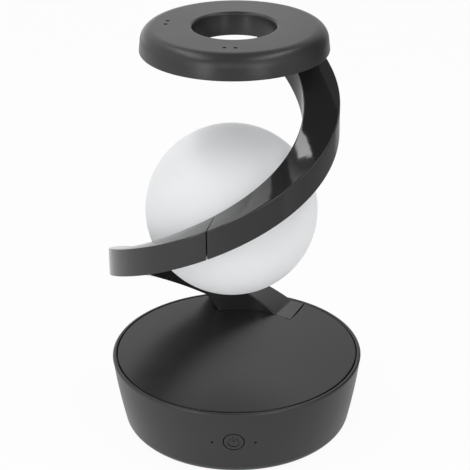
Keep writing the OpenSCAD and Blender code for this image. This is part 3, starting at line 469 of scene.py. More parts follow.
def base_holes():
    """Each hole's line, the half size of its block, the rings at its mouth and those at its inner end."""
    back_of_sleeve = SLEEVE_DEPTH - WALL
    sleeve = BUTTON_HOLE_R + SLEEVE_WALL
    yield (button_line(), sleeve + SLEEVE_MARGIN, soft_mouth(BUTTON_HOLE_R, MOUTH_EDGE),
           [(sleeve, 0), (sleeve, back_of_sleeve), (BUTTON_HOLE_R, back_of_sleeve)])
    for x in (-PINHOLE_X, PINHOLE_X):
        line = button_line(x, PINHOLE_DROP)
        yield line, PINHOLE_REACH, soft_mouth(PINHOLE_R, PINHOLE_EDGE), [(PINHOLE_R, 0)]
    slot_r = INLET_H / 2 + INLET_GAP
    slot = HoleLine((0, side_r(inlet_z), inlet_z), (-1, 0, 0), (0, 0, 1), inlet_half)
    yield slot, BLOCK_SHARE * slot_r, soft_mouth(slot_r, MOUTH_EDGE), [(slot_r, 0)]


print("holes in the housing:", len(list(base_holes())))

# %% Housing
BASE_COLUMNS = 360
shape = HoledGrid(turned(base_profile, BASE_COLUMNS), loop_rows=True)
for line, reach, mouth, inner in base_holes():
    columns = shape.columns_at(line, reach)
    low, high = line.origin[2] - reach, line.origin[2] + reach
    rows_out = first_out + cells_between(heights, low, high)
    rows_in = first_in + len(within) - 1 - cells_between(within, low, high)
    outer, around = rings_to_hole(shape, shape.cut(rows_out, columns), line, off_side, mouth)
    back, _ = rings_to_hole(shape, shape.cut(rows_in, columns), line, off_inside, inner, around)
    shape.band(outer, back)
shape.close()
make_piece("base_shell", shape, "housing_black", "base_housing")

# %% [markdown]
# ## Arm
#
# The arm is a hollow beam that leaves the lid flush, climbs about one turn and ends flat under the ring. It
# has three walls with softly broken edges, and a strip closes it from below. At each angle four numbers give
# the section: the top, the underside, the outer and the inner radius. A curve with a bevel could do it too,
# but would tilt the section as it climbs. A narrow seam at the front parts the beam in two.

# %% Path of the arm
FOOT_START = 52.0
FOOT_SLANT = 3.0
ARM_START = 62.0
FOOT_END = 105.0
FOOT_STEP = 0.2
UNDERCUT_SWEEP = 8.0
BELLY_ANGLE = 232.0
ARM_END = 402.0
BELLY_R = 62.5
ARM_TIP_R = 43.0
ARM_FOOT_W = 18.9
ARM_TIP_W = 16.9
ARM_H = 14.3
CLIMB_SLACK = 0.04
DRAW_IN = 1.18


def helix(a):
    """Height of the climbing line: a straight rise with the angle, slackened by a small square term."""
    t = (a - ARM_START) / (ARM_END - ARM_START)
    return lid_z + (ring_z - lid_z) * ((1 + CLIMB_SLACK) * t - CLIMB_SLACK * t * t)


def arm_top(a):
    """Top of the arm: the climbing line, held between the lid and the ring."""
    return np.clip(helix(a), lid_z, ring_z)


def arm_low(a):
    """Underside: through the lid at the foot, then a short ramp, then a depth below the climbing line."""
    start, end = lid_z + COVER_GAP, helix(FOOT_END + UNDERCUT_SWEEP) - ARM_H
    ramp = start + (end - start) * (a - FOOT_END) / UNDERCUT_SWEEP
    free = np.where(a < FOOT_END + UNDERCUT_SWEEP, ramp, helix(a) - ARM_H)
    return np.where(a <= FOOT_END, lid_under_z, free)


def arm_out(a):
    """Outer radius: the lid's at the foot, a parabola out to the belly, then a power curve in to the ring."""
    ahead = np.clip(BELLY_ANGLE - a, 0, None) / (BELLY_ANGLE - FOOT_END)
    back = (np.clip(a - BELLY_ANGLE, 0, None) / (ARM_END - BELLY_ANGLE)) ** DRAW_IN
    out = BELLY_R - (BELLY_R - lid_r) * ahead**2 - (BELLY_R - ARM_TIP_R) * back
    return np.where(a <= FOOT_END, lid_r, out)


def arm_width(a):
    """Width of the arm, an even taper from foot to ring."""
    return ARM_FOOT_W + (ARM_TIP_W - ARM_FOOT_W) * (a - FOOT_START) / (ARM_END - FOOT_START)


def arm_in(a):
    """Inner radius: the outer one less the width."""
    return arm_out(a) - arm_width(a)


def swept(a, section):
    """Sections of radius and height placed at their angles. Near the foot's first edge a point turns by the
    slant, from minus to plus across the arm's width."""
    r, z = section[..., 0], section[..., 1]
    slant = FOOT_SLANT * np.clip(1 - (a - FOOT_START) / (ARM_START - FOOT_START), 0, None)
    across = 2 * (r - arm_in(a)[:, None]) / arm_width(a)[:, None] - 1
    turn = circle_of(a[:, None] + slant[:, None] * across)
    return np.concatenate([r[..., None] * turn, z[..., None]], -1)


# %% Stations along the arm
SEAM_ANGLE = 259.0
SEAM_GAP = 0.5
ARM_TAIL = 424.0


def stations(*stops, step=0.5):
    """Angles from stop to stop in even steps, with every stop kept."""
    parts = [np.linspace(a, b, max(2, round((b - a) / step) + 1)) for a, b in zip(stops, stops[1:])]
    return np.unique(np.concatenate(parts))


seam_half = math.degrees(SEAM_GAP / 2 / (arm_out(SEAM_ANGLE) - arm_width(SEAM_ANGLE) / 2))
lower_angles = stations(FOOT_START, ARM_START, FOOT_END, FOOT_END + FOOT_STEP, FOOT_END + UNDERCUT_SWEEP,
                        SEAM_ANGLE - seam_half)
upper_angles = stations(SEAM_ANGLE + seam_half, ARM_END, ARM_TAIL)
print("arm stations:", len(lower_angles), len(upper_angles))

# %% Section of the beam
ARM_WALL = 2.0
ARM_EDGE = 0.5
ARM_LIP = 0.2
FACE_SHARES = np.concatenate([[0.03], np.linspace(0.08, 0.92, 13), [0.97]])


def beam_outline(a):
    """The hollow section at each angle: outer wall, top and inner wall, each with rows at the same shares of
    its width, then the inside. The second value is the first row of the inner wall."""
    o, i, top, low = arm_out(a), arm_in(a), arm_top(a), arm_low(a)
    t = ARM_WALL
    corners = [(o, low), (o, top), (i, top), (i, low), (i + t, low), (i + t, top - t), (o - t, top - t),
               (o - t, low)]
    radii = [ARM_LIP, ARM_EDGE, ARM_EDGE, ARM_LIP, ARM_LIP, ARM_EDGE, ARM_EDGE, ARM_LIP]
    arcs = rounded(np.moveaxis(np.array(corners), -1, 0), radii)
    ends, starts = arcs[:, :3, -1, None], arcs[:, 1:4, 0, None]
    faces = ends + (starts - ends) * FACE_SHARES[:, None]
    outside = np.concatenate([arcs[:, :3], faces], 2)
    wall_row = 3 * outside.shape[2] - len(FACE_SHARES)
    parts = [outside.reshape(len(a), -1, 2), arcs[:, 3:].reshape(len(a), -1, 2)]
    return np.concatenate(parts, 1), wall_row


print("beam outline:", beam_outline(lower_angles)[0].shape[1], "points")

# %% Screws beside the seam
TONGUE_REACH = 10.0
TONGUE_SCREW_UP = 1.0
SMALL_HEAD_R = 2.0
SMALL_HEAD_H = 1.1
HEAD_GAP = 0.2
POCKET_EDGE = 0.1
POCKET_SHARE = 1.3


def tongue_screw_line(side, depth=0.0):
    """The line of a screw beside the seam, outwards from the axis, from a depth in the arm's inner wall."""
    a = SEAM_ANGLE + side * TONGUE_REACH / 2
    out = np.append(circle_of(a), 0)
    origin = (arm_in(a) + depth) * out + [0, 0, (arm_top(a) + helix(a) - ARM_H) / 2 + TONGUE_SCREW_UP]
    return HoleLine(origin, np.cross(out, (0, 0, 1)), (0, 0, 1))


def off_inner_wall(points):
    """How far points stand out from the arm's inner wall, near the seam."""
    return np.hypot(points[:, 0], points[:, 1]) - arm_in(angle_of(points))


# %% Shells and strips of the arm
STRIP_T = 1.6
STRIP_GAP = 0.15


def arm_shell(name, a, side, node, *more):
    """A length of the beam with flat ends and a round pocket for its tongue screw's head."""
    section, first_row = beam_outline(a)
    grid = swept(a, section)
    shape = HoledGrid(grid)
    line = tongue_screw_line(side)
    place = angle_of(line.origin)
    reach = POCKET_SHARE * SMALL_HEAD_R + HEAD_GAP
    swing = np.degrees(reach / arm_in(place))
    rows = cells_between(a, place - swing, place + swing)
    heights = grid[int(rows.mean()), first_row:first_row + len(FACE_SHARES), 2]
    low, high = line.origin[2] - reach, line.origin[2] + reach
    columns = first_row + np.sort(len(heights) - 1 - cells_between(heights[::-1], low, high))
    pocket = SMALL_HEAD_R + HEAD_GAP
    rings = soft_mouth(pocket, POCKET_EDGE) + [(pocket, SMALL_HEAD_H)]
    blind_hole(shape, shape.cut(rows, columns), line, off_inner_wall, rings)
    shape.close()
    shape.close_ends(*grid.shape[:2])
    for extra in more:
        shape.add_grid(extra)
    return make_piece(name, shape, "arm_black", node)


def arm_strip(name, a, node):
    """The strip that closes the beam from below, a flat bar between the two walls."""
    inner, outer = arm_in(a) + ARM_WALL + STRIP_GAP, arm_out(a) - ARM_WALL - STRIP_GAP
    low = arm_low(a)
    corners = [(outer, low), (outer, low + STRIP_T), (inner, low + STRIP_T), (inner, low)]
    outline = rounded(np.moveaxis(np.array(corners), -1, 0), [ARM_LIP] * 4, steps=3)
    grid = swept(a, outline.reshape(len(a), -1, 2))
    shape = Surface(grid)
    shape.close_ends(*grid.shape[:2])
    return make_piece(name, shape, "cover_black", node)


# %% [markdown]
# ## Mount of the globe
#
# The globe hangs on a short collar that a round pad on the arm's inner wall carries. The pad is moulded with
# the lower half of the arm, so it joins that shell's mesh. Pad and globe share one line, from the globe's
# middle out to the wall, and both are turned round it, which keeps the mount straight at any size.

# %% Line of the mount
MOUNT_ANGLE = 241.0
COLLAR_STAND_OFF = 1.2
MOUNT_PAD_R = 3.9
MOUNT_PAD_EDGE = 0.3
ROUND_COLUMNS = 48
mount_way = arm_in(MOUNT_ANGLE) * circle_of(MOUNT_ANGLE) - globe_middle[:2]
wall_distance = np.linalg.norm(mount_way)
mount_axis = np.append(mount_way / wall_distance, 0)
mount_side = np.cross((0, 0, 1), mount_axis)
print("from the globe's middle to the arm:", round(wall_distance, 2))


def along_mount(points):
    """Points around the z axis turned so that z runs from the globe's middle out to the arm."""
    x, y, z = np.moveaxis(points, -1, 0)[..., None]
    return globe_middle + x * mount_side + y * np.array([0, 0, 1.0]) + z * mount_axis


near, far = wall_distance - COLLAR_STAND_OFF, wall_distance + ARM_WALL / 2
corners = [(0, near), (MOUNT_PAD_R, near), (MOUNT_PAD_R, far), (0, far)]
outline = rounded(corners, [0, MOUNT_PAD_EDGE, 0, 0]).reshape(-1, 2)
mount_pad = along_mount(turned(outline, ROUND_COLUMNS))

# %% Arm
arm_shell("lower_arm_shell", lower_angles, -1, "lower_arm", mount_pad)
arm_shell("upper_arm_shell", upper_angles, 1, "upper_arm")
arm_strip("lower_arm_strip", lower_angles[lower_angles > FOOT_END], "lower_arm_cover")
arm_strip("upper_arm_strip", upper_angles, "upper_arm_cover")

# %% [markdown]
# ## Lid
#
# The lid is a flat disc that lies in the rim with a thin groove around it. The arm's foot comes through a
# notch at the back. The notch's first edge slants, so the disc isn't a plain fan from the middle. Its top is
# drawn from a point near the front, from which the whole outline is in sight. Four posts below take the base
# screws.

# %% Outline of the lid
NOTCH_FLARE = 0.4
SLANT_POINTS = 12
RIM_POINTS = 360
NOTCH_POINTS = 60
SHARPEST = 0.3


def beside(points, gap):
    """Flat points moved round the middle by a distance: the angle grows by the gap over the radius."""
    r = np.linalg.norm(points, axis=-1)
    angle = np.degrees(np.arctan2(points[:, 1], points[:, 0]) + gap / r)
    return r[:, None] * circle_of(angle)


def lid_outline():
    """Once around the lid: the rim from the notch's end to its start, in along the slant, and back."""
    r_in = arm_in(np.array(FOOT_START)) - COVER_GAP
    radii = np.linspace(lid_r, r_in, SLANT_POINTS)
    lean = FOOT_SLANT * (2 * (radii - r_in) / (lid_r - r_in) - 1)
    flare = NOTCH_FLARE * np.clip((radii - r_in) / (lid_r - r_in), 0, 1)
    first = beside(radii[:, None] * circle_of(FOOT_START + lean), -COVER_GAP - flare)
    last = beside(radii[::-1, None] * circle_of(FOOT_END + FOOT_STEP), COVER_GAP)
    start, stop = (math.degrees(math.atan2(p[1], p[0])) for p in (last[-1], first[0]))
    rim = lid_r * circle_of(np.linspace(start, stop + 360, RIM_POINTS))[1:-1]
    inner = np.linspace(FOOT_START - FOOT_SLANT, FOOT_END, NOTCH_POINTS)[1:-1]
    notch = (arm_in(inner) - COVER_GAP)[:, None] * circle_of(inner)
    return np.concatenate([rim, first, notch, last])


def inset(outline, by):
    """An outline moved inwards: each point goes along the mean of its two sides' normals."""
    way = np.roll(outline, -1, 0) - outline
    normal = np.stack([-way[:, 1], way[:, 0]], -1) / np.linalg.norm(way, axis=-1, keepdims=True)
    before = np.roll(normal, 1, 0)
    return outline + by * (normal + before) / np.clip(1 + (normal * before).sum(-1), SHARPEST, None)[:, None]


outline = lid_outline()
print("lid outline:", len(outline), "points")

# %% Lid
LID_EDGE = 0.3
EDGE_ANGLES = np.radians(np.linspace(0, 90, 5))
LID_RINGS = 12
SIGHT_POINT = (4.0, -50.0)
POST_R = 3.5
POST_CIRCLE_R = 40.0
POST_ANGLES = (30.0, 150.0, 210.0, 330.0)
boss_top_z = span("base_lid")[0][2]
edge = [(LID_EDGE * (1 - math.cos(t)), lid_z - LID_EDGE * (1 - math.sin(t))) for t in EDGE_ANGLES]
steps = [(0, lid_under_z), *edge, (2 * LID_EDGE, lid_z)]
loops = [np.column_stack([inset(outline, by), np.full(len(outline), z)]) for by, z in steps]
shape = Surface(np.array(loops))
sight = np.array([*SIGHT_POINT, lid_z])
shares = np.linspace(1, 0, LID_RINGS)[:, None, None]
shape.add_grid(sight + shares * (loops[-1] - sight))
under = np.array([*SIGHT_POINT, lid_under_z])
shape.add_grid(np.array([loops[0], np.broadcast_to(under, loops[0].shape)]))
post = np.array([(0, boss_top_z), (POST_R, boss_top_z), (POST_R, lid_under_z), (0, lid_under_z)])
for a in POST_ANGLES:
    shape.add_grid(turned(post, ROUND_COLUMNS) + np.append(POST_CIRCLE_R * circle_of(a), 0))
make_piece("lid_plate", shape, "lid_black", "base_lid")

# %% [markdown]
# ## Ring
#
# The ring at the top is a hollow moulding with a broad round shoulder, a flat top and a plain hole. Two pairs
# of pinholes sit in its top. The profile has extra rows on the flat top, so that the pinholes' blocks are
# small. The pinholes widen downwards, as they do where a thin wall opens on a dark inside.

# %% Profile of the ring
RING_HOLE_R = 19.5
RING_WALL = 2.2
SHOULDER = 6.5
RING_LEAN = 0.5
HOLE_EDGE = 1.4
RING_LIP = 0.35
FLAT_ROWS = 22
FLAT_MARGIN = 0.6
shoulder_r, shoulder_z = ring_r - RING_LEAN - SHOULDER, ring_top_z - SHOULDER
outer_lip = arc((ring_r - RING_LIP, ring_z + RING_LIP), RING_LIP, -90, 0, steps=4)
shoulder = arc((shoulder_r, shoulder_z), SHOULDER, 0, 90, steps=20)
flat_r = np.linspace(shoulder_r - FLAT_MARGIN, RING_HOLE_R + HOLE_EDGE + FLAT_MARGIN, FLAT_ROWS)
flat = np.column_stack([flat_r, np.full(len(flat_r), ring_top_z)])
hole_edge = arc((RING_HOLE_R + HOLE_EDGE, ring_top_z - HOLE_EDGE), HOLE_EDGE, 90, 180, steps=10)
hole_lip = arc((RING_HOLE_R + RING_LIP, ring_z + RING_LIP), RING_LIP, 180, 270, steps=4)
inner_r, inner_top = RING_HOLE_R + RING_WALL, ring_top_z - RING_WALL
inside = arc((shoulder_r, shoulder_z), SHOULDER - RING_WALL, 90, 0, steps=8)
cavity = [[inner_r, ring_z], [inner_r, inner_top], *inside, [ring_r - RING_WALL, ring_z]]
top_profile = np.concatenate([outer_lip, shoulder, flat, hole_edge, hole_lip, cavity])
# first row of the flat top
first_flat = len(outer_lip) + len(shoulder)
print("ring profile:", len(top_profile), "points")

# %% Ring
RING_COLUMNS = 288
PAIR_ANGLES = (173.0, 268.0)
PAIR_R = 31.6
PAIR_PITCH = 4.9
RING_PINHOLE_R = 0.92
RING_PINHOLE_EDGE = 0.03
RING_PINHOLE_FLARE = 1.4
RING_PINHOLE_DEPTH = 0.9 * RING_WALL


def off_ring_top(points):
    """How far points stand above the ring's flat top."""
    return points[:, 2] - ring_top_z


def pinhole_lines():
    """Lines straight down into the ring's top, in pairs that lie across a line from the axis."""
    for a in PAIR_ANGLES:
        out = circle_of(a)
        along = np.array([-out[1], out[0]])
        for side in (-1, 1):
            place = PAIR_R * out + side * PAIR_PITCH / 2 * along
            x, y = place / np.linalg.norm(place)
            yield HoleLine((*place, ring_top_z), (-y, x, 0), (-x, -y, 0))


shape = HoledGrid(turned(top_profile, RING_COLUMNS), loop_rows=True)
rings = soft_mouth(RING_PINHOLE_R, RING_PINHOLE_EDGE)
rings.append((RING_PINHOLE_FLARE * RING_PINHOLE_R, RING_PINHOLE_DEPTH))
reach = BLOCK_SHARE * RING_PINHOLE_R
for line in pinhole_lines():
    r = np.hypot(*line.origin[:2])
    rows = first_flat + cells_between(-flat_r, -r - reach, -r + reach)
    border = shape.cut(rows, shape.columns_at(line, reach))
    blind_hole(shape, border, line, off_ring_top, rings)
shape.close()
make_piece("ring_body", shape, "housing_black", "ring_shell")

# %% [markdown]
# ## Globe
#
# The globe is a thin blown shell with one round hole, where the arm holds it. It is two arcs, one outside
# and one inside, that meet in a narrow lip and are carried round the mount's line.

# %% Globe
GLOBE_WALL = 2.0
GLOBE_HOLE_R = 4.6
GLOBE_LIP = 0.5
GLOBE_ROWS = 128
GLOBE_COLUMNS = 192


def globe_arc(radius, rows):
    """Half a circle from the far pole to the hole: the radius times the sine and cosine of an angle."""
    hole = math.degrees(math.asin((GLOBE_HOLE_R + GLOBE_LIP) / radius))
    return radius * circle_of(np.linspace(180, hole, rows))[:, ::-1]


lip_r = globe_r - GLOBE_WALL / 2
lip = [[GLOBE_HOLE_R, lip_r + GLOBE_LIP], [GLOBE_HOLE_R, lip_r - GLOBE_LIP]]
outside = globe_arc(globe_r, GLOBE_ROWS)
inside = globe_arc(globe_r - GLOBE_WALL, GLOBE_ROWS // 2)[::-1]
grid = along_mount(turned(np.concatenate([outside, lip, inside]), GLOBE_COLUMNS))
make_piece("globe_shade", Surface(grid), "globe_white", "globe")

# %% [markdown]
# ## Button
#
# The push button lies flush in the front wall. Its face follows the wall, with a broken edge and a shallow
# power sign: an arc that is open at the top, and a bar in the opening. The sign is cut into the mesh. The
# depth at a point falls off with its distance from the stroke, so the groove has soft flanks. Behind the face
# follow a guided barrel, a flange that keeps the button in, and a stem that meets the switch.

# %% Power sign
SIGN_R = 2.65
SIGN_STROKE = 0.42
SIGN_FLANK = 0.14
SIGN_DEPTH = 0.38
SIGN_OPEN = 40.0
SIGN_BAR = (0.6, 3.1)


def sign_depth(flat):
    """Depth of the power sign: full within the stroke, falling to nothing over a narrow flank beyond it."""
    x, y = flat[..., 0], flat[..., 1]
    end_y, end_x = SIGN_R * circle_of(SIGN_OPEN)
    to_arc = np.abs(np.hypot(x, y) - SIGN_R)
    to_end = np.hypot(np.abs(x) - end_x, y - end_y)
    to_sign = np.where(np.abs(np.degrees(np.arctan2(x, y))) > SIGN_OPEN, to_arc, to_end)
    to_bar = np.hypot(x, y - np.clip(y, *SIGN_BAR))
    away = np.minimum(to_sign, to_bar)
    share = np.clip((SIGN_STROKE + SIGN_FLANK - away) / SIGN_FLANK, 0, 1)
    return SIGN_DEPTH * share * share * (3 - 2 * share)


# %% Button
BUTTON_GAP = 0.4
FACE_GAP = 0.5
BUTTON_EDGE = 0.06
FLANGE_DEPTH = 1.2
STEM_R = 2.0
STEM_LEN = 1.0
FACE_COLUMNS = 288
FACE_ROWS = 80
button_r = BUTTON_HOLE_R - FACE_GAP
line = button_line()
ring = circle_of(even_angles(FACE_COLUMNS))
radii = np.linspace(0, button_r - BUTTON_EDGE, FACE_ROWS)
face = [line.on(off_side, r * ring, sign_depth(r * ring)) for r in radii]
edge = [(button_r - BUTTON_EDGE * (1 - math.sin(t)), BUTTON_EDGE * (1 - math.cos(t)))
        for t in EDGE_ANGLES[1:]]
rim = [line.on(off_side, r * ring, depth) for r, depth in edge]
flange_z = SLEEVE_DEPTH + BUTTON_GAP
flange_r = BUTTON_HOLE_R + SLEEVE_WALL / 2
stem_z = flange_z + FLANGE_DEPTH
body = [(button_r, flange_z), (flange_r, flange_z), (flange_r, stem_z), (STEM_R, stem_z),
        (STEM_R, stem_z + STEM_LEN), (0, stem_z + STEM_LEN)]
back = [line.at(r * ring, depth) for r, depth in body]
shape = Surface(np.array([*face, *rim, *back]))
make_piece("power_button_cap", shape, "button_black", "power_button", body="button")

# %% [markdown]
# ## Screws, pads and inlet
#
# Underneath, four screws sit deep in the bottom cover, and three hold the ring's plate. Their heads have a
# cross recess. The depth of the cross is again a function of the place on the head. Four rubber pads carry
# the lamp, each a profile with broken edges that is turned round its own axis. The inlet at the back is a
# thin metal shell around a flat tongue. The section of the shell's lip is half a circle.

# %% Screw shape
CROSS_HALF_W = 0.16
CROSS_FLANK = 0.06
CROSS_REACH = 0.66
CROSS_END = 0.12
CROSS_DEPTH = 0.5
CROSS_RISE = 0.7
HEAD_EDGE = 0.2
HEAD_COLUMNS = 96
HEAD_ROWS = 36


def cross_depth(flat, radius):
    """Depth of a cross recess: deepest in the middle, with two arms that thin out towards the rim. All its
    sizes are shares of the head's radius."""
    x, y = np.abs(flat[..., 0]) / radius, np.abs(flat[..., 1]) / radius
    near, far = np.minimum(x, y), np.maximum(x, y)
    arm = np.clip((CROSS_HALF_W - near) / CROSS_FLANK, 0, 1) * np.clip((CROSS_REACH - far) / CROSS_END, 0, 1)
    return CROSS_DEPTH * radius * arm * np.clip(1 - CROSS_RISE * far, 0, 1)


def screws(name, lines, head_r, head_h, shank_r, length, node):
    """Screws with a flat head. Each line starts at the middle of a head's underside."""
    ring = circle_of(even_angles(HEAD_COLUMNS))
    radii = np.linspace(0, head_r - HEAD_EDGE, HEAD_ROWS)
    rows = [(r, cross_depth(r * ring, head_r) - head_h) for r in radii]
    rows += [(head_r, HEAD_EDGE - head_h), (head_r, 0)]
    rows += [(shank_r, 0), (shank_r, length - shank_r), (0, length)]
    grids = [np.array([line.at(r * ring, depth) for r, depth in rows]) for line in lines]
    return make_piece(name, Surface(*grids), "screw_steel", node)


# %% Screws
POCKET_DEPTH = 3.0
RING_SCREW_ANGLES = (120.0, 220.0, 320.0)
RING_SCREW_R = 32.0
BASE_HEAD_R = 2.8
BASE_HEAD_H = 2.0
BASE_SHANK_R = 1.45
BASE_SCREW_LEN = 12.0
SMALL_SHANK_R = 1.0
RING_SCREW_LEN = 5.4
TONGUE_SCREW_LEN = 6.0


def screws_up(angles, radius, z):
    """Lines that point upwards, on a circle round the lamp's axis."""
    return [HoleLine((*(radius * circle_of(a)), z), (0, 1, 0), (1, 0, 0)) for a in angles]


screws("base_screw_set", screws_up(POST_ANGLES, POST_CIRCLE_R, base_z + POCKET_DEPTH),
       BASE_HEAD_R, BASE_HEAD_H, BASE_SHANK_R, BASE_SCREW_LEN, "bottom_screws")
screws("ring_screw_set", screws_up(RING_SCREW_ANGLES, RING_SCREW_R, ring_z + SMALL_HEAD_H),
       SMALL_HEAD_R, SMALL_HEAD_H, SMALL_SHANK_R, RING_SCREW_LEN, "ring_screws")
screws("tongue_screw_set", [tongue_screw_line(side, SMALL_HEAD_H) for side in (-1, 1)],
       SMALL_HEAD_R, SMALL_HEAD_H, SMALL_SHANK_R, TONGUE_SCREW_LEN, "arm_tongue_screws")

# %% Rubber pads
PAD_R = 5.0
PAD_EDGE = 0.5
PAD_TOP_EDGE = 0.1
PAD_CIRCLE_R = 42.0
PAD_ANGLES = (0, 90, 180, 270)
PAD_COLUMNS = 64
top = span("foot_pads")[1][2]
corners = [(0, 0), (PAD_R, 0), (PAD_R, top), (0, top)]
outline = rounded(corners, [0, PAD_EDGE, PAD_TOP_EDGE, 0]).reshape(-1, 2)
shape = Surface()
for a in PAD_ANGLES:
    shape.add_grid(turned(outline, PAD_COLUMNS) + np.append(PAD_CIRCLE_R * circle_of(a), 0))
make_piece("rubber_pads", shape, "foot_rubber", "foot_pads")

# %% Inlet
INLET_SHEET = 0.4
INLET_BACK = 1.0
INLET_COLUMNS = 96
LIP_POINTS = 7
inlet_back = socket_high[1] - socket_low[1] - INLET_BACK


def inlet_loops(rings):
    """Stadium outlines at a radius and a depth behind the inlet's mouth."""
    line = HoleLine((0, socket_high[1], inlet_z), (-1, 0, 0), (0, 0, 1), inlet_half)
    around = circle_of(even_angles(INLET_COLUMNS) + 180 / INLET_COLUMNS)
    flats = [line.loop(radius, around) if radius else 0 * around for radius, _ in rings]
    return np.array([line.at(flat, depth) for flat, (_, depth) in zip(flats, rings)])


r, half = INLET_H / 2, INLET_SHEET / 2
length = inlet_back + INLET_BACK
lip = [(r - half + half * c, half - half * s) for c, s in circle_of(np.linspace(0, 180, LIP_POINTS))]
rings = [(0, length), (r, length), *lip, (r - INLET_SHEET, inlet_back), (0, inlet_back)]
make_piece("inlet_shell", Surface(inlet_loops(rings)), "plate_steel", "usb_socket")

# %% Tongue of the inlet
TONGUE_W = 6.6
TONGUE_T = 0.7
TONGUE_IN = 1.0
TONGUE_EDGE = 0.3
half, y0, y1 = TONGUE_W / 2, socket_high[1] - inlet_back, socket_high[1] - TONGUE_IN
corners = [(-half, y0), (half, y0), (half, y1), (-half, y1)]
flat = rounded(corners, [0, 0, TONGUE_EDGE, TONGUE_EDGE]).reshape(-1, 2)
middle = np.broadcast_to(flat.mean(0), flat.shape)
low, high = inlet_z - TONGUE_T / 2, inlet_z + TONGUE_T / 2
rows = [(middle, low), (flat, low), (flat, high), (middle, high)]
grid = np.array([np.column_stack([row, np.full(len(row), z)]) for row, z in rows])
make_piece("inlet_tongue", Surface(grid), "chip_black")

# %% [markdown]
# ## Finishes
#
# Most of the lamp is black plastic, moulded with a very fine grain. Two effects are shared as node groups.
# One is the grain, a noise that feeds a Bump node. The other is a slow cloud that shifts colour and roughness
# a little, as handling and the mould do. The arm is glossy, so it has the grain group a second time, far
# wider, for the slow unevenness that bends reflections in a glossy moulding. The Principled shader stays in
# each material, and numbers that are the same all over are set on its own sockets.

# %% Node groups
def new_node(tree, kind, inputs=(), **settings):
    """The outputs of a new shader node: settings come first, then each input gets a value or a link."""
    node = tree.nodes.new("ShaderNode" + kind)
    for label, value in settings.items():
        setattr(node, label, value)
    for label, value in dict(inputs).items():
        if isinstance(value, bpy.types.NodeSocket):
            tree.links.new(value, node.inputs[label])
        else:
            node.inputs[label].default_value = value
    return node.outputs


def new_group(name, numbers, results):
    """An empty node group with a Vector input, numbers with their defaults, and named results."""
    group = bpy.data.node_groups.new(name, "ShaderNodeTree")
    group.interface.new_socket("Vector", in_out="INPUT", socket_type="NodeSocketVector")
    for label, default in numbers.items():
        socket = group.interface.new_socket(label, in_out="INPUT", socket_type="NodeSocketFloat")
        socket.default_value = default
    for label in results:
        group.interface.new_socket(label, in_out="OUTPUT", socket_type="NodeSocketFloat")
    return group, group.nodes.new("NodeGroupInput").outputs, group.nodes.new("NodeGroupOutput").inputs


def noise(group, start, detail):
    """Noise at the group's own Vector and Scale, with finer layers that are each half as wide."""
    inputs = {"Vector": start["Vector"], "Scale": start["Scale"], "Detail": detail}
    return new_node(group, "TexNoise", inputs)["Fac"]


def mould_grain():
    """Grain of a moulded surface: one noise with two finer layers."""
    group, start, end = new_group("mould_grain", {"Scale": 1500.0}, ["Height"])
    group.links.new(noise(group, start, 2.0), end["Height"])
    return group


def handling_cloud():
    """A slow cloud from nought to one, and the same cloud spread between a low and a high value."""
    numbers = {"Scale": 25.0, "Low": 0.3, "High": 0.4}
    group, start, end = new_group("handling_cloud", numbers, ["Cloud", "Value"])
    cloud = noise(group, start, 4.0)
    spread = new_node(group, "MapRange", {"Value": cloud, "From Min": 0.3, "From Max": 0.7,
                                          "To Min": start["Low"], "To Max": start["High"]})
    group.links.new(cloud, end["Cloud"])
    group.links.new(spread["Result"], end["Value"])
    return group


GRAIN = mould_grain()
CLOUD = handling_cloud()
print("node groups:", GRAIN.name, CLOUD.name)

# %% One finish
def finish(name, dark, light, rough, cloud_mm=40, grain=(0.5, 0.004), swell=None, **sockets):
    """A material whose colour and roughness drift with the cloud and whose normal carries the grain. Grain
    and swell are a width and a depth in millimetres."""
    material = bpy.data.materials.new(name)
    material.use_nodes = True
    tree = material.node_tree
    shader = tree.nodes["Principled BSDF"].inputs
    for label, value in sockets.items():
        shader[label.replace("_", " ")].default_value = value
    place = new_node(tree, "TexCoord")["Object"]
    drift = {"Vector": place, "Scale": 1 / (cloud_mm * MM), "Low": rough[0], "High": rough[1]}
    cloud = new_node(tree, "Group", drift, node_tree=CLOUD)
    mixed = {"Factor": cloud["Cloud"], "A": (*dark, 1), "B": (*light, 1)}
    tree.links.new(new_node(tree, "Mix", mixed, data_type="RGBA")["Result"], shader["Base Color"])
    tree.links.new(cloud["Value"], shader["Roughness"])
    normal = {}
    for width, depth in filter(None, (swell, grain)):
        scaled = {"Vector": place, "Scale": 1 / (width * MM)}
        height = new_node(tree, "Group", scaled, node_tree=GRAIN)["Height"]
        bump = new_node(tree, "Bump", {**normal, "Height": height, "Distance": depth * MM})
        normal = {"Normal": bump["Normal"]}
    tree.links.new(normal["Normal"], shader["Normal"])
    return material


def grey(value):
    """A colour without hue."""
    return (value, value, value)


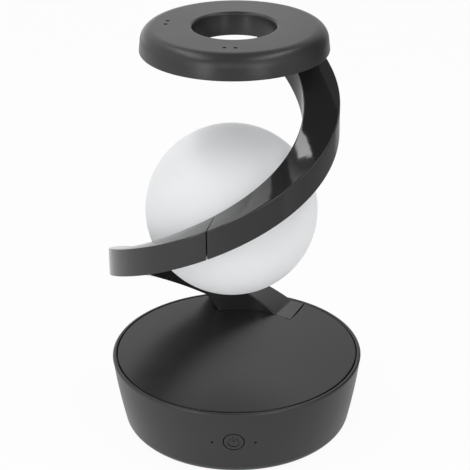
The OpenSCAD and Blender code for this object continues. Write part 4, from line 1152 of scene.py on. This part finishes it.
# %% Finishes
METAL_GRAIN = (0.3, 0.002)
SATIN = (0.32, 0.37)
finishes = {
    "housing_black": finish("satin_black", grey(0.017), grey(0.020), SATIN),
    "lid_black": finish("lid_black", grey(0.010), grey(0.013), (0.29, 0.34), Specular_IOR_Level=0.43),
    "button_black": finish("button_black", grey(0.017), grey(0.020), SATIN),
    "arm_black": finish("gloss_black", grey(0.018), grey(0.021), (0.07, 0.10), grain=(0.5, 0.0005),
                        swell=(14, 0.16)),
    "cover_black": finish("strip_black", grey(0.016), grey(0.020), (0.30, 0.38)),
    "foot_rubber": finish("pad_rubber", grey(0.012), grey(0.02), (0.75, 0.9), grain=(0.8, 0.02)),
    "screw_steel": finish("screw_steel", grey(0.5), grey(0.56), (0.25, 0.35), 6, METAL_GRAIN, Metallic=1.0),
    "plate_steel": finish("plate_steel", grey(0.6), grey(0.66), (0.2, 0.3), 8, METAL_GRAIN, Metallic=1.0),
    "cell_sleeve": finish("cell_sleeve", (0.02, 0.16, 0.09), (0.03, 0.2, 0.12), (0.3, 0.4)),
    "board_green": finish("board_green", (0.012, 0.11, 0.04), (0.02, 0.15, 0.06), (0.35, 0.45), 12),
    "switch_grey": finish("switch_grey", grey(0.14), grey(0.18), (0.4, 0.5), 6),
    "switch_white": finish("switch_white", grey(0.6), grey(0.66), (0.4, 0.5), 6),
    "light_pipe": finish("smoked_light_pipe", grey(0.02), grey(0.03), (0.15, 0.25), 6),
    "chip_black": finish("chip_black", grey(0.015), grey(0.02), (0.45, 0.55), 4),
    "wire_sheath": finish("wire_sheath", grey(0.012), grey(0.016), (0.5, 0.6), 10),
    # The globe's faint emission is a painted glow. It stands in for light spreading inside the opal shell,
    # and lifts the shade that the arm and ring cast on it.
    "globe_white": finish("opal_white_painted_glow", (0.65, 0.657, 0.667), (0.68, 0.687, 0.697), (0.5, 0.58), 60,
                          (0.6, 0.003), Subsurface_Weight=1.0, Subsurface_Scale=0.0015,
                          Subsurface_Radius=(1, 1, 1), Emission_Color=(0.98, 0.99, 1.0, 1.0),
                          Emission_Strength=0.19),
    "post_aluminium": finish("post_aluminium", grey(0.62), grey(0.68), (0.3, 0.4), 8, Metallic=1.0),
    "chip_yellow": finish("chip_yellow", (0.7, 0.5, 0.08), (0.75, 0.55, 0.12), (0.4, 0.5), 4),
}
print("finishes:", len(finishes))

# %% Every node and piece takes its slot's finish
node_slots = {row["node"]: row["material_slot"] for row in frame["record"]["subparts"]}
print("slots of nodes:", len(node_slots))

pieces = [thing for thing in bpy.context.scene.objects if "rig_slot" in thing]
for thing in [*nodes.values(), *pieces]:
    slot_name = thing.get("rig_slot") or node_slots[thing["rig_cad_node"]]
    thing.data.materials.clear()
    thing.data.materials.append(finishes[slot_name])

# %% [markdown]
# ## Camera
#
# The picture is a plain product shot: the lamp on white, seen from a little above with a long lens. The
# camera was fitted to the rims of base and ring. A constraint could aim it at the lamp, but three plain turns
# keep the fitted angles as they are.

# %% Camera
CAMERA_PLACE = (0.02042, -0.70182, 0.43984)
CAMERA_SWING = 1.7
CAMERA_PITCH = 25.674
CAMERA_ROLL = -0.4345
CAMERA_LENS = 122.24
CAMERA_SENSOR = 36.0
camera_data = bpy.data.cameras.new("camera")
camera_data.lens = CAMERA_LENS
camera_data.sensor_width = CAMERA_SENSOR
camera = put("camera", camera_data)
turns = [(CAMERA_SWING, "Z"), (90 - CAMERA_PITCH, "X"), (CAMERA_ROLL, "Z")]
pose = Matrix.Translation(CAMERA_PLACE)
for degrees, axis in turns:
    pose = pose @ Matrix.Rotation(math.radians(degrees), 4, axis)
camera.matrix_world = pose
bpy.context.scene.camera = camera
bpy.context.scene.view_settings.view_transform = "Standard"
print("camera at", CAMERA_PLACE, "with a lens of", CAMERA_LENS)

# %% [markdown]
# ## Floor and room
#
# Black gloss shows the room more than its own colour, so the room is part of the finish. The Light Path node
# tells who is looking. The camera sees a white world and a white floor, with a share of real shade under the
# lamp. The lamp gets a plain fill from the world. Mirrors see a studio: white walls under a dim ceiling, and
# a floor with painted shade that darkens it towards the front right. From below the floor is clear, so that
# the underside can be seen.

# %% Who is looking
def seen_directly(tree, by_mirror):
    """One for a ray from the camera or through glass, a chosen share for a mirror, and else nought."""
    path = new_node(tree, "LightPath")
    most = new_node(tree, "Math", {0: path["Is Glossy Ray"], 1: by_mirror}, operation="MULTIPLY")[0]
    for label in ("Is Camera Ray", "Is Transmission Ray"):
        most = new_node(tree, "Math", {0: most, 1: path[label]}, operation="MAXIMUM")[0]
    return most


def white_but_in_mirrors(tree, mirrored):
    """One for every ray but those from a mirror, which get the given value."""
    by_mirror = new_node(tree, "LightPath")["Is Glossy Ray"]
    return new_node(tree, "Mix", {"Factor": by_mirror, "A": 1.0, "B": mirrored})["Result"]


def stage_tree(mesh, name):
    """The empty node tree of a new material on a mesh of the stage."""
    material = bpy.data.materials.new(name)
    material.use_nodes = True
    material.node_tree.nodes.clear()
    mesh.materials.append(material)
    return material.node_tree


# %% Floor
FLOOR_SIZE = 6.0
FLOOR_Z = -0.05 * MM
FLOOR_GLOW = 0.94
FLOOR_COLOUR = (0.85, 0.85, 0.85, 1)
FLOOR_SHEEN = 0.6
# Painted shade: to mirrors the floor's glow falls off towards the front right, as if less light reached it
# there.
SHADE_FALLS_ALONG = (0.87, -0.5, 0.0)
FULL_SHADE_AT = 0.3
PAINTED_SHADE_LEVEL = 0.3
mesh = bpy.data.meshes.new("floor")
half = FLOOR_SIZE / 2
corners = [(x * half, y * half, FLOOR_Z) for x, y in ((-1, -1), (1, -1), (1, 1), (-1, 1))]
mesh.from_pydata(corners, [], [(0, 1, 2, 3)])
floor = put("floor", mesh)
tree = stage_tree(mesh, "floor_white")
place = new_node(tree, "TexCoord")["Object"]
along = new_node(tree, "VectorMath", {0: place, 1: SHADE_FALLS_ALONG}, operation="DOT_PRODUCT")["Value"]
painted_fade = new_node(tree, "MapRange", {"Value": along, "From Max": FULL_SHADE_AT, "To Min": 1.0, "To Max": PAINTED_SHADE_LEVEL})
white = white_but_in_mirrors(tree, painted_fade["Result"])
glow = new_node(tree, "Emission", {"Strength": white})[0]
paper = new_node(tree, "BsdfDiffuse", {"Color": FLOOR_COLOUR})[0]
seen = seen_directly(tree, FLOOR_SHEEN)
share = new_node(tree, "Math", {0: seen, 1: FLOOR_GLOW}, operation="MULTIPLY")[0]
above = new_node(tree, "MixShader", {"Fac": share, 1: paper, 2: glow})[0]
from_below = new_node(tree, "NewGeometry")["Backfacing"]
clear = new_node(tree, "BsdfTransparent")[0]
both = new_node(tree, "MixShader", {"Fac": from_below, 1: above, 2: clear})[0]
new_node(tree, "OutputMaterial", {"Surface": both})
print("floor:", FLOOR_SIZE, "m wide")

# %% World
WORLD_FILL = 0.46
WALL_SHEEN = 0.95
CEILING = 0.26
CEILING_FROM = 38.0
CEILING_TO = 46.0
world = bpy.data.worlds.new("studio")
bpy.context.scene.world = world
world.use_nodes = True
tree = world.node_tree
looking = new_node(tree, "TexCoord")["Generated"]
height = new_node(tree, "SeparateXYZ", {0: looking})["Z"]
# the height of a looking direction is the sine of its angle above the floor
low, high = (math.sin(math.radians(angle)) for angle in (CEILING_FROM, CEILING_TO))
dimmed = {"Value": height, "From Min": low, "From Max": high, "To Min": 1.0, "To Max": CEILING}
room = new_node(tree, "MapRange", dimmed, interpolation_type="SMOOTHSTEP")["Result"]
white = white_but_in_mirrors(tree, room)
seen = seen_directly(tree, WALL_SHEEN)
strength = new_node(tree, "Mix", {"Factor": seen, "A": WORLD_FILL, "B": white})["Result"]
background = tree.nodes["Background"].inputs
background["Color"].default_value = (1, 1, 1, 1)
tree.links.new(strength, background["Strength"])
print("world:", world.name)

# %% [markdown]
# ## Light boxes
#
# Soft boxes are area lamps, because in gloss their outline is what shows. Two long strips overhead draw the
# sheen of globe, ring and lid. Two upright strips in front give the round walls their light edges. A fill
# beside the camera lifts only what is matt, and a low box behind brightens the far side.

# %% Light boxes
LAMP_MIDDLE = (0, 0, 0.11)
STRIP_MIDDLE = (0, 0, 0.22)


def light_box(name, place, target, size, radiance):
    """A soft rectangular lamp that faces a target: its power is the radiance times pi times its area."""
    data = bpy.data.lights.new(name, "AREA")
    data.shape = "RECTANGLE"
    data.size, data.size_y = size
    data.energy = radiance * math.pi * size[0] * size[1]
    box = put(name, data)
    box.location = place
    box.rotation_euler = (Vector(target) - Vector(place)).to_track_quat("-Z", "Y").to_euler()
    box.visible_camera = False
    print(name, "watts:", round(data.energy, 3))
    return box


light_box("top_left_strip", (-0.47, 0.05, 1.0), LAMP_MIDDLE, size=(0.85, 0.16), radiance=5.8)
light_box("top_right_strip", (0.44, -0.08, 1.0), LAMP_MIDDLE, size=(0.75, 0.15), radiance=6.0)
light_box("front_left_strip", (-0.265, -0.405, 0.22), STRIP_MIDDLE, size=(0.09, 0.4), radiance=3.4)
light_box("front_right_strip", (0.24, -0.415, 0.22), STRIP_MIDDLE, size=(0.11, 0.4), radiance=2.6)
front_fill = light_box("front_fill", (-0.15, -0.9, 0.75), LAMP_MIDDLE, size=(0.6, 0.6), radiance=2.0)
front_fill.visible_glossy = False
light_box("back_box", (-0.35, 1.2, 0.17), (-0.1, 0, 0.17), size=(1.3, 0.33), radiance=0.55)

# %% [markdown]
# ## Grey card
#
# A photographer bends a grey card round a glossy thing, to hold white back from its reflections. This one
# stands behind the lamp and to its right, where the arm's faces mirror it. It could be many small cards. One
# bent sheet is simpler: its grey is a number written at each point, and only reflections see it. The grey
# follows the angle between the stops, and goes over with the height from the foot's greys to the others.

# %% Grey card
CARD_R = 0.28
CARD_H = 0.5
CARD_FOOT_H = 0.12
CARD_STOPS = (6, 20, 43, 46, 75, 105, 126)
CARD_FOOT_GREYS = (0.5, 0.2, 0.4, 0.4, 0.55, 0.4, 0.65)
CARD_GREYS = (0.9, 0.8, 0.5, 0.1, 0.1, 0.55, 0.85)
CARD_COLUMNS = 201
CARD_FOOT_ROWS = 9
angle = np.linspace(CARD_STOPS[0], CARD_STOPS[-1], CARD_COLUMNS)
height = np.concatenate([np.linspace(0, CARD_FOOT_H, CARD_FOOT_ROWS), [CARD_H]])
around = CARD_R * circle_of(angle)[:, ::-1]
points = np.concatenate([np.broadcast_to(around, (len(height), *around.shape)),
                         np.broadcast_to(height[:, None, None], (len(height), len(angle), 1))], -1)
share = np.clip(height / CARD_FOOT_H, 0, 1)[:, None]
foot, high = (np.interp(angle, CARD_STOPS, greys) for greys in (CARD_FOOT_GREYS, CARD_GREYS))
greys = foot + (high - foot) * share
mesh = bpy.data.meshes.new("grey_card")
faces = grid_faces(*points.shape[:2], loop_columns=False).reshape(-1, 4)
mesh.from_pydata(points.reshape(-1, 3).tolist(), [], faces.tolist())
mesh.attributes.new("grey", "FLOAT", "POINT").data.foreach_set("value", greys.ravel())
card = put("grey_card", mesh)
card.visible_camera = card.visible_diffuse = card.visible_transmission = card.visible_shadow = False
tree = stage_tree(mesh, "card_grey")
written = new_node(tree, "Attribute", attribute_name="grey")["Fac"]
glow = new_node(tree, "Emission", {"Strength": written})[0]
new_node(tree, "OutputMaterial", {"Surface": glow})
print("grey card from", greys.min().round(2), "to", greys.max().round(2))
